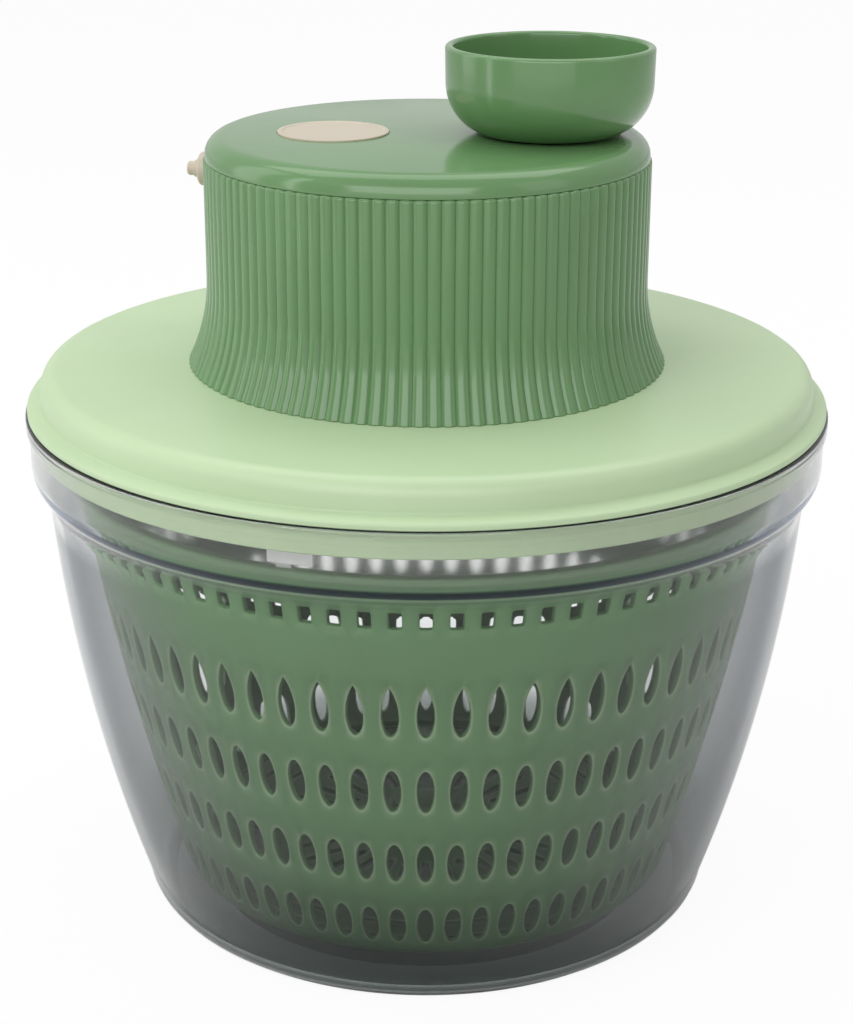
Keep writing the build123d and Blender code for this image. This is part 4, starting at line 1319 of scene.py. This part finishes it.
    def notches(self):
        """Cutter for the three notches that take the drive plate's teeth."""
        parts = []
        for index in range(self.notch_count):
            angle = radians(self.notch_angle + 360 * index / self.notch_count)
            turn = Matrix.Rotation(angle, 4, "Z")
            middle_r = self.top_r - self.notch_reach / 2
            spot = Matrix.Translation((middle_r, self.notch_side, BASKET_TOP.z))
            size = (self.notch_reach, self.notch_width, 2 * self.notch_depth)
            parts.append(block(size, turn @ spot))
        return joined("notches", parts, look("basket"))

    def execute(self, context):
        sizes = context.scene.spinner_sizes
        parts = [*self.rings_of_holes(sizes), *self.plain_strips(sizes)]
        basket = joined("basket_perforated", parts, look("basket"))
        self.bridge(basket)
        cleaned(basket, self.sharp_edge)
        cut_from(basket, self.notches(), "MANIFOLD", self.sharp_edge)
        finished(basket, "basket", "basket")
        return {"FINISHED"}


class SPINNER_OT_lid(bpy.types.Operator):
    """Turns the pale lid with its resting flange and centring skirt"""

    bl_idname = "spinner.lid"
    bl_label = "Lid"

    disc_inset = 4.6 * MM
    disc_draft = 0.6 * MM
    edge_round = 5.0 * MM
    shoulder = 3.4 * MM
    rest_gap = 0.2 * MM
    flange_edge = 1.8 * MM
    wall = 2.4 * MM
    skirt_r = 116.2 * MM
    skirt_wall = 2.2 * MM
    hub_r = 11.0 * MM
    hub_bore = 7.53 * MM
    hub_depth = 9.5 * MM
    shoulder_round = 0.9 * MM
    flange_top_round = 0.8 * MM
    flange_low_round = 0.5 * MM
    skirt_root_round = 0.4 * MM
    skirt_edge_round = 0.6 * MM
    inner_round = 1.0 * MM
    hub_root_round = 0.8 * MM
    hub_edge_round = 0.5 * MM
    steps = 256

    def execute(self, context):
        rim_z, top_z = BOWL_TOP.z, LID_TOP.z
        flange_r, disc_r = LID_TOP.x, LID_TOP.x - self.disc_inset
        flange_z = rim_z + self.rest_gap
        under_z = top_z - self.wall
        inner_r = disc_r - self.wall
        skirt_in = self.skirt_r - self.skirt_wall
        outline = rounded(
            (self.hub_bore, top_z),
            (disc_r, top_z, self.edge_round),
            (disc_r + self.disc_draft, rim_z + self.shoulder, self.shoulder_round),
            (flange_r, flange_z + self.flange_edge, self.flange_top_round),
            (flange_r, flange_z, self.flange_low_round),
            (self.skirt_r, flange_z, self.skirt_root_round),
            (self.skirt_r, LID_LOW.z, self.skirt_edge_round),
            (skirt_in, LID_LOW.z, self.skirt_edge_round),
            (skirt_in, rim_z, self.inner_round),
            (inner_r, rim_z + self.wall, self.inner_round),
            (inner_r, under_z, self.edge_round - self.wall),
            (self.hub_r, under_z, self.hub_root_round),
            (self.hub_r, under_z - self.hub_depth, self.hub_edge_round),
            (self.hub_bore, under_z - self.hub_depth),
            (self.hub_bore, top_z),
        )
        lid = turned("lid_disc", outline, self.steps, look("lid"))
        finished(lid, "lid", "lid")
        return {"FINISHED"}


class SPINNER_OT_housing(bpy.types.Operator):
    """Turns the ribbed gear housing that flares to its foot"""

    bl_idname = "spinner.housing"
    bl_label = "Gear housing"

    top_r = 65.3 * MM
    bore_r = 62.0 * MM
    flare_r = 57.0 * MM
    flare_height = 25.7 * MM
    ledge_r = 61.2 * MM
    lip_bore_r = 57.0 * MM
    lip_sink = 0.5 * MM
    lip_thickness = 2.6 * MM
    top_round = 0.9 * MM
    foot_round = 0.25 * MM
    foot_land = 1.0 * MM
    boss_r = 5.6 * MM
    boss_root = 1.0 * MM
    boss_stand = 0.5 * MM
    boss_round = 0.3 * MM
    edge_flat = 0.1 * MM
    ledge_round = 0.2 * MM
    lip_round = 0.3 * MM
    flare_steps = 10
    boss_steps = 48
    columns_per_rib = 10

    def flare(self, start_r):
        """The flare from the foot up to the straight wall."""
        centre = (start_r + self.flare_r, HOUSING_LOW.z + self.flare_height)
        foot_r = centre[0] - sqrt(self.flare_r**2 - self.flare_height**2)
        top = (start_r, centre[1])
        return arc_between((foot_r, HOUSING_LOW.z), top, centre, self.flare_steps)

    def execute(self, context):
        sizes = context.scene.spinner_sizes
        top_z = HOUSING_TOP.z
        lip_z = top_z - self.lip_sink
        outer = self.flare(self.top_r)
        foot_r, foot_z = outer[0]
        land = (foot_r - self.foot_land, foot_z)
        foot = rounded(land, (foot_r, foot_z, self.foot_round), outer[1])
        edge = rounded(
            outer[-1],
            (self.top_r, top_z, self.top_round),
            (self.top_r - self.top_round - self.edge_flat, top_z),
        )
        flat_r = self.top_r - sizes.groove_depth - 2 * self.top_round
        inner = [
            (flat_r, top_z),
            *rounded(
                (flat_r - self.top_round / 2, top_z),
                (self.ledge_r, top_z, self.ledge_round),
                (self.ledge_r, lip_z),
                (self.lip_bore_r, lip_z, self.lip_round),
                (self.lip_bore_r, lip_z - self.lip_thickness, self.lip_round),
                (self.bore_r, lip_z - self.lip_thickness),
            ),
            *self.flare(self.bore_r)[::-1],
            land,
        ]
        ribbed = foot[1:] + outer[2:] + edge[1:]
        outline = [land, *ribbed, *inner]
        weights = [0.0] + [1.0] * len(ribbed) + [0.0] * len(inner)
        housing = turned(
            "housing_ribbed",
            outline,
            sizes.rib_count * self.columns_per_rib,
            look("gear_housing"),
            (sizes.rib_count, sizes.groove_depth, sizes.groove_share, weights),
        )
        boss_low = self.bore_r + self.boss_root
        boss_high = self.top_r + self.boss_stand
        boss = turned(
            "boss",
            rounded(
                (0.0, boss_low),
                (self.boss_r, boss_low),
                (self.boss_r, boss_high, self.boss_round),
                (0.0, boss_high),
            ),
            self.boss_steps,
            look("gear_housing"),
        )
        boss.data.transform(brake_axis())
        housing = joined("housing_ribbed_drum", [housing, boss], look("gear_housing"))
        smoothed(housing)
        finished(housing, "gear_housing", "lid")
        return {"FINISHED"}


class SPINNER_OT_cap(bpy.types.Operator):
    """Turns the crank cap, with a recess for the medallion and a hole for the knob's pin"""

    bl_idname = "spinner.cap"
    bl_label = "Crank cap"

    band_gap = 0.05 * MM
    wall = 2.4 * MM
    top_wall = 2.6 * MM
    edge_round = 5.5 * MM
    ring_r = 59.6 * MM
    ring_wall = 1.6 * MM
    ring_low = 230.5 * MM
    neck_r = 56.7 * MM
    pin_hole_r = 4.03 * MM
    recess_gap = 0.15 * MM
    band_round = 0.1 * MM
    inner_round = 0.8 * MM
    collar_round = 0.3 * MM
    steps = 192
    recess_steps = 96
    pin_steps = 48

    def cut_round(self, cap, radius, low_z, steps, x):
        """Cuts a round hole from a height up through the cap's top."""
        hole = [(0.0, low_z), (radius, low_z), (radius, MEDALLION_TOP.z), (0.0, MEDALLION_TOP.z)]
        cut_from(cap, turned("hole", hole, steps, look("crank_cap"), at=(x, 0.0)))

    def execute(self, context):
        top_z, cap_r = CAP_TOP.z, CAP_TOP.x
        under_z = top_z - self.top_wall
        band_low = HOUSING_TOP.z + self.band_gap
        outline = rounded(
            (0.0, top_z),
            (cap_r, top_z, self.edge_round),
            (cap_r, band_low, self.band_round),
            (cap_r - self.wall, band_low, self.band_round),
            (cap_r - self.wall, under_z, self.inner_round),
            (self.ring_r, under_z, self.collar_round),
            (self.ring_r, self.ring_low, self.collar_round),
            (self.ring_r - self.ring_wall, self.ring_low, self.collar_round),
            (self.ring_r - self.ring_wall, under_z),
            (self.neck_r, under_z, self.collar_round),
            (self.neck_r, CAP_LOW.z, self.collar_round),
            (self.neck_r - self.wall, CAP_LOW.z, self.collar_round),
            (self.neck_r - self.wall, under_z, self.collar_round),
            (0.0, under_z),
        )
        cap = turned("cap_turning", outline, self.steps, look("crank_cap"))
        recess_r = MEDALLION_R + self.recess_gap
        self.cut_round(cap, recess_r, MEDALLION_LOW.z, self.recess_steps, MEDALLION_X)
        self.cut_round(cap, self.pin_hole_r, CAP_LOW.z, self.pin_steps, KNOB_X)
        finished(cap, "crank_cap", "crank")
        return {"FINISHED"}


class SPINNER_OT_medallion(bpy.types.Operator):
    """Turns the plain cream medallion with its dished face"""

    bl_idname = "spinner.medallion"
    bl_label = "Medallion"

    rim_width = 1.7 * MM
    rim_slope = 0.4 * MM
    dish_depth = 0.25 * MM
    low_round = 0.2 * MM
    edge_round = 0.3 * MM
    dish_round = 0.25 * MM
    steps = 128

    def execute(self, context):
        low_z, top_z = MEDALLION_LOW.z, MEDALLION_TOP.z
        dish_r = MEDALLION_R - self.rim_width
        dish_z = top_z - self.dish_depth
        face = rounded(
            (0.0, low_z),
            (MEDALLION_R, low_z, self.low_round),
            (MEDALLION_R, top_z, self.edge_round),
            (dish_r + self.rim_slope, top_z, self.dish_round),
            (dish_r, dish_z, self.dish_round),
            (0.0, dish_z),
        )
        at = (MEDALLION_X, 0.0)
        medallion = turned("medallion_plain", face, self.steps, look("medallion"), at=at)
        finished(medallion, "medallion", "crank")
        return {"FINISHED"}


class SPINNER_OT_knob(bpy.types.Operator):
    """Turns the cup knob of the crank"""

    bl_idname = "spinner.knob"
    bl_label = "Knob"

    base_r = 21.0 * MM
    shoulder_r = 30.1 * MM
    rim_r = 30.3 * MM
    shoulder_height = 14.0 * MM
    wall = 2.4 * MM
    floor = 4.0 * MM
    bore_r = 5.05 * MM
    rim_round = 1.0 * MM
    base_round = 1.2 * MM
    floor_round = 2.0 * MM
    outside_steps = 14
    inside_steps = 12
    # Steps of each arc that the rounding of the base and of the floor takes up
    round_steps = 3
    steps = 160

    def execute(self, context):
        low_z, top_z = KNOB_LOW.z, KNOB_TOP.z
        shoulder_z = low_z + self.shoulder_height
        floor_z = low_z + self.floor
        run = self.shoulder_r - self.base_r
        arc_r = (run**2 + self.shoulder_height**2) / (2 * run)
        centre = (self.shoulder_r - arc_r, shoulder_z)
        inner_r = arc_r - self.wall
        inner_foot = (centre[0] + sqrt(inner_r**2 - (shoulder_z - floor_z) ** 2), floor_z)
        shoulder = (self.shoulder_r, shoulder_z)
        outside = arc_between((self.base_r, low_z), shoulder, centre, self.outside_steps)
        inner_shoulder = (self.shoulder_r - self.wall, shoulder_z)
        inside = arc_between(inner_shoulder, inner_foot, centre, self.inside_steps)
        rim = rounded(
            outside[-1],
            (self.rim_r, top_z, self.rim_round),
            (self.rim_r - self.wall, top_z, self.rim_round),
            inside[0],
        )
        outside = outside[self.round_steps :]
        inside = inside[: 1 - self.round_steps]
        base = rounded(
            (self.bore_r, low_z),
            (self.base_r, low_z, self.base_round),
            outside[0],
        )
        floor = rounded(
            inside[-1],
            (*inner_foot, self.floor_round),
            (self.bore_r, floor_z),
            (self.bore_r, low_z),
        )
        outline = base + outside[1:] + rim[1:] + inside[1:] + floor[1:]
        knob = turned("knob_turned_cup", outline, self.steps, look("knob_cup"), at=(KNOB_X, 0.0))
        finished(knob, "knob_cup", "knob")
        return {"FINISHED"}


def brake_axis():
    """Matrix that lays an upright form along the brake button's axis."""
    turn = BRAKE_OUT.to_track_quat("Z", "Y").to_matrix().to_4x4()
    return Matrix.Translation((0.0, 0.0, BRAKE_HEIGHT)) @ turn


class SPINNER_OT_brake(bpy.types.Operator):
    """Turns the brake's bezel and button"""

    bl_idname = "spinner.brake"
    bl_label = "Brake button"

    bezel_inner = 62.2 * MM
    bezel_pocket = 64.0 * MM
    bezel_seat = 65.8 * MM
    bezel_outer = 69.4 * MM
    bezel_r = 5.0 * MM
    neck_r = 3.4 * MM
    pocket_r = 2.9 * MM
    stem_r = 1.5 * MM
    stem_gap = 0.05 * MM
    stem_end = 61.9 * MM
    button_low = 67.0 * MM
    button_step = 71.0 * MM
    button_end = 73.2 * MM
    button_r = 2.6 * MM
    tip_r = 2.1 * MM
    hidden_round = 0.2 * MM
    bezel_round = 1.0 * MM
    pocket_round = 0.4 * MM
    step_round = 0.4 * MM
    tip_root_round = 0.1 * MM
    tip_round = 0.7 * MM
    steps = 64

    def execute(self, context):
        bore = self.stem_r + self.stem_gap
        bezel = turned(
            "bezel_flanged",
            rounded(
                (bore, self.bezel_inner),
                (self.neck_r, self.bezel_inner, self.hidden_round),
                (self.neck_r, self.bezel_seat),
                (self.bezel_r, self.bezel_seat, self.hidden_round),
                (self.bezel_r, self.bezel_outer, self.bezel_round),
                (self.pocket_r, self.bezel_outer, self.pocket_round),
                (self.pocket_r, self.bezel_pocket),
                (bore, self.bezel_pocket),
                (bore, self.bezel_inner),
            ),
            self.steps,
            look("brake_bezel"),
        )
        button = turned(
            "button_stepped",
            rounded(
                (0.0, self.stem_end),
                (self.stem_r, self.stem_end),
                (self.stem_r, self.button_low),
                (self.button_r, self.button_low, self.hidden_round),
                (self.button_r, self.button_step, self.step_round),
                (self.tip_r, self.button_step, self.tip_root_round),
                (self.tip_r, self.button_end, self.tip_round),
                (0.0, self.button_end),
            ),
            self.steps,
            look("brake_button"),
        )
        for obj, node, body in (
            (bezel, "brake_bezel", "lid"),
            (button, "brake_button", "brake"),
        ):
            obj.data.transform(brake_axis())
            finished(obj, node, body)
        return {"FINISHED"}


class SPINNER_OT_drive_plate(bpy.types.Operator):
    """Rounds the edges of the white drive plate and of the basket's bearing"""

    bl_idname = "spinner.drive_plate"
    bl_label = "Drive plate and bearing"

    # Node, body and width of its rounded edges
    pieces = (
        ("drive_plate", "drive", 0.5 * MM),
        ("basket_bearing", "basket_pivot", 0.3 * MM),
    )

    def execute(self, context):
        for node, body, width in self.pieces:
            finished(softened(node, look(node), width), node, body)
        return {"FINISHED"}


class SPINNER_OT_screws(bpy.types.Operator):
    """Sets cross-head screws where the frame has its plain ones"""

    bl_idname = "spinner.screws"
    bl_label = "Screws"

    shank_r = 1.5 * MM
    tip_r = 1.1 * MM
    tip_length = 0.7 * MM
    # Radius and height of a head
    small_head = (2.3 * MM, 2.0 * MM)
    wide_head = (5.4 * MM, 2.2 * MM)
    head_low_round = 0.15 * MM
    head_round_share = 0.6
    recess_width = 0.9 * MM
    recess_share = 1.3
    recess_most = 5.2 * MM
    recess_depth_share = 1.1
    steps = 48
    # Node, body, head, count, angle of the first and whether the head is below
    sets = (
        ("housing_screws", "lid", small_head, 4, radians(45), True),
        ("carrier_screws", "lid", small_head, 3, radians(150), True),
        ("ring_screws", "crank", small_head, 4, radians(45), True),
        ("knob_screw", "crank", wide_head, 1, 0.0, False),
        ("drive_screw", "drive", wide_head, 1, 0.0, True),
        ("sun_screw", "drive", wide_head, 1, 0.0, False),
    )

    def screw(self, head, length, material, head_down):
        """Pan-head screw with a cross recess and the underside of its head at the origin."""
        head_r, head_height = head
        form = turned(
            "screw",
            rounded(
                (0.0, -length),
                (self.tip_r, -length),
                (self.shank_r, -length + self.tip_length),
                (self.shank_r, 0.0),
                (head_r, 0.0, self.head_low_round),
                (head_r, head_height, head_height * self.head_round_share),
                (0.0, head_height),
            ),
            self.steps,
            material,
        )
        reach = min(self.recess_share * head_r, self.recess_most)
        size = (reach, self.recess_width, head_height * self.recess_depth_share)
        for turn in (0, pi / 2):
            spot = Matrix.Translation((0.0, 0.0, head_height))
            cut_from(form, block(size, spot @ Matrix.Rotation(turn, 4, "Z")))
        if head_down:
            form.data.transform(Matrix.Rotation(pi, 4, "X"))
        return form

    def execute(self, context):
        for node, body, head, count, start, head_down in self.sets:
            head_r, head_height = head
            low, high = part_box(node)
            length = high.z - low.z - head_height
            height = low.z + head_height if head_down else high.z - head_height
            furthest = max(cos(start + 2 * pi * k / count) for k in range(count))
            radius = (high.x - head_r) / furthest
            part = self.screw(head, length, look(node), head_down)
            ring = grown(
                node + "_cross_head",
                tree_for(copies_tree),
                {
                    "Part": part,
                    "Count": count,
                    "Radius": radius,
                    "Start angle": start,
                    "Height": height,
                    "Material": look(node),
                },
            )
            bpy.data.objects.remove(part)
            finished(smoothed(ring), node, body)
        return {"FINISHED"}


class SPINNER_OT_stage(bpy.types.Operator):
    """Sets the pale floor, the soft studio light and the camera"""

    bl_idname = "spinner.stage"
    bl_label = "Stage"

    floor_r = 8.0
    floor_sides = 96
    floor_colour = (0.92, 0.92, 0.92, 1.0)
    floor_roughness = 0.9
    # Plain white that gloss and glass see in the floor, and that gloss sees in the sky
    floor_white = (0.1, 0.1)
    sky_white = 0.4
    clip_start = 0.01
    # Name, place, size, power, whether it lights the pieces and whether it shows in their gloss
    lamps = (
        ("key", (-0.95, -1.05, 1.35), (1.1, 0.9), 13.0, True, False),
        ("fill", (1.35, -0.75, 0.75), (0.7, 1.2), 2.0, True, True),
        ("top", (0.0, 0.35, 1.55), (2.2, 0.9), 12.0, True, True),
        ("side", (-1.2, 0.25, 0.6), (0.5, 1.2), 2.5, True, True),
        ("front_card", (-0.2, -1.35, 0.76), (1.7, 0.8), 12.0, False, True),
        ("low_card", (-0.2, -1.25, 0.22), (1.7, 0.36), 1.5, False, True),
        ("strip_card", (-1.0, -0.35, 0.45), (0.12, 1.1), 1.2, False, True),
    )
    aim = (0.0, 0.0, 0.15)

    def white_share(self, tree, straight, by_gloss, by_glass):
        """Plain white's share for rays that see the surroundings straight, by gloss or by glass."""
        path = add_node(tree, "ShaderNodeLightPath")
        share = Field(tree, path.outputs["Is Camera Ray"]) * straight
        for way, most in (("Is Glossy Ray", by_gloss), ("Is Transmission Ray", by_glass)):
            share = share.math("MAXIMUM", Field(tree, path.outputs[way]) * most)
        return share

    def floor(self, glow):
        """Pale round floor that keeps the object's shadow."""
        form = bmesh.new()
        bmesh.ops.create_circle(
            form, cap_ends=True, segments=self.floor_sides, radius=self.floor_r
        )
        mesh = mesh_from(form, "floor")
        material, tree, shader = new_material("pale_floor")
        shader.inputs["Base Color"].default_value = self.floor_colour
        shader.inputs["Roughness"].default_value = self.floor_roughness
        shader.inputs["Specular IOR Level"].default_value = 0.0
        white = add_node(tree, "ShaderNodeEmission", {"Color": (1.0, 1.0, 1.0, 1.0)})
        both = add_node(
            tree,
            "ShaderNodeMixShader",
            {
                0: self.white_share(tree, glow, *self.floor_white),
                1: shader.outputs[0],
                2: white.outputs[0],
            },
        )
        plug(tree, both.outputs[0], tree.nodes["Material Output"].inputs["Surface"])
        mesh.materials.append(material)
        linked(bpy.data.objects.new("floor", mesh))

    def world(self, scene, level):
        """White surroundings that light the object at a level."""
        scene.world = bpy.data.worlds.new("studio")
        scene.world.use_nodes = True
        tree = scene.world.node_tree
        sky = tree.nodes["Background"]
        sky.inputs["Color"].default_value = (1.0, 1.0, 1.0, 1.0)
        rest = 1 - level
        strength = self.white_share(tree, rest, rest * self.sky_white, rest) + level
        plug(tree, strength, sky.inputs["Strength"])

    def execute(self, context):
        scene = context.scene
        stage = scene.spinner_stage
        scene.view_settings.view_transform = "Standard"
        self.floor(stage.floor_glow)
        self.world(scene, stage.sky_level)
        for name, spot, size, power, lights, shines in self.lamps:
            lamp = bpy.data.lights.new(name, "AREA")
            lamp.shape = "RECTANGLE"
            lamp.size, lamp.size_y = size
            lamp.energy = power
            holder = linked(bpy.data.objects.new(name, lamp))
            holder.visible_diffuse = lights
            holder.visible_transmission = lights
            holder.visible_glossy = shines
            way = Vector(self.aim) - Vector(spot)
            holder.location = spot
            holder.rotation_euler = way.to_track_quat("-Z", "Y").to_euler()
        lens = bpy.data.cameras.new("camera")
        lens.lens = stage.camera_lens
        lens.clip_start = self.clip_start
        camera = linked(bpy.data.objects.new("camera", lens))
        place = (0.0, -stage.camera_distance, BOWL_TOP.z + stage.camera_above_rim)
        camera.matrix_world = (
            Matrix.Translation(place)
            @ Matrix.Rotation(pi / 2 - stage.camera_pitch, 4, "X")
            @ Matrix.Rotation(stage.camera_roll, 4, "Z")
        )
        scene.camera = camera
        return {"FINISHED"}


class SPINNER_PT_panel(bpy.types.Panel):
    """Sidebar panel that lists the spinner's operators and settings"""

    bl_idname = "SPINNER_PT_panel"
    bl_label = "Salad spinner"
    bl_space_type = "VIEW_3D"
    bl_region_type = "UI"
    bl_category = "Spinner"

    def draw(self, context):
        for operator in OPERATORS:
            self.layout.operator(operator.bl_idname)
        for group in ("spinner_sizes", "spinner_colours", "spinner_stage"):
            settings = getattr(context.scene, group)
            for name in settings.bl_rna.properties.keys():
                if name not in ("rna_type", "name"):
                    self.layout.prop(settings, name)


OPERATORS = (
    SPINNER_OT_materials,
    SPINNER_OT_bowl,
    SPINNER_OT_basket,
    SPINNER_OT_lid,
    SPINNER_OT_housing,
    SPINNER_OT_cap,
    SPINNER_OT_medallion,
    SPINNER_OT_knob,
    SPINNER_OT_brake,
    SPINNER_OT_drive_plate,
    SPINNER_OT_screws,
    SPINNER_OT_stage,
)
CLASSES = (SpinnerSizes, SpinnerColours, SpinnerStage, *OPERATORS, SPINNER_PT_panel)


def register():
    for cls in CLASSES:
        bpy.utils.register_class(cls)
    bpy.types.Scene.spinner_sizes = PointerProperty(type=SpinnerSizes)
    bpy.types.Scene.spinner_colours = PointerProperty(type=SpinnerColours)
    bpy.types.Scene.spinner_stage = PointerProperty(type=SpinnerStage)


def unregister():
    del bpy.types.Scene.spinner_stage
    del bpy.types.Scene.spinner_colours
    del bpy.types.Scene.spinner_sizes
    for cls in reversed(CLASSES):
        bpy.utils.unregister_class(cls)


def main():
    register()
    for operator in OPERATORS:
        group, name = operator.bl_idname.split(".")
        getattr(getattr(bpy.ops, group), name)()


if __name__ == "__main__":
    main()
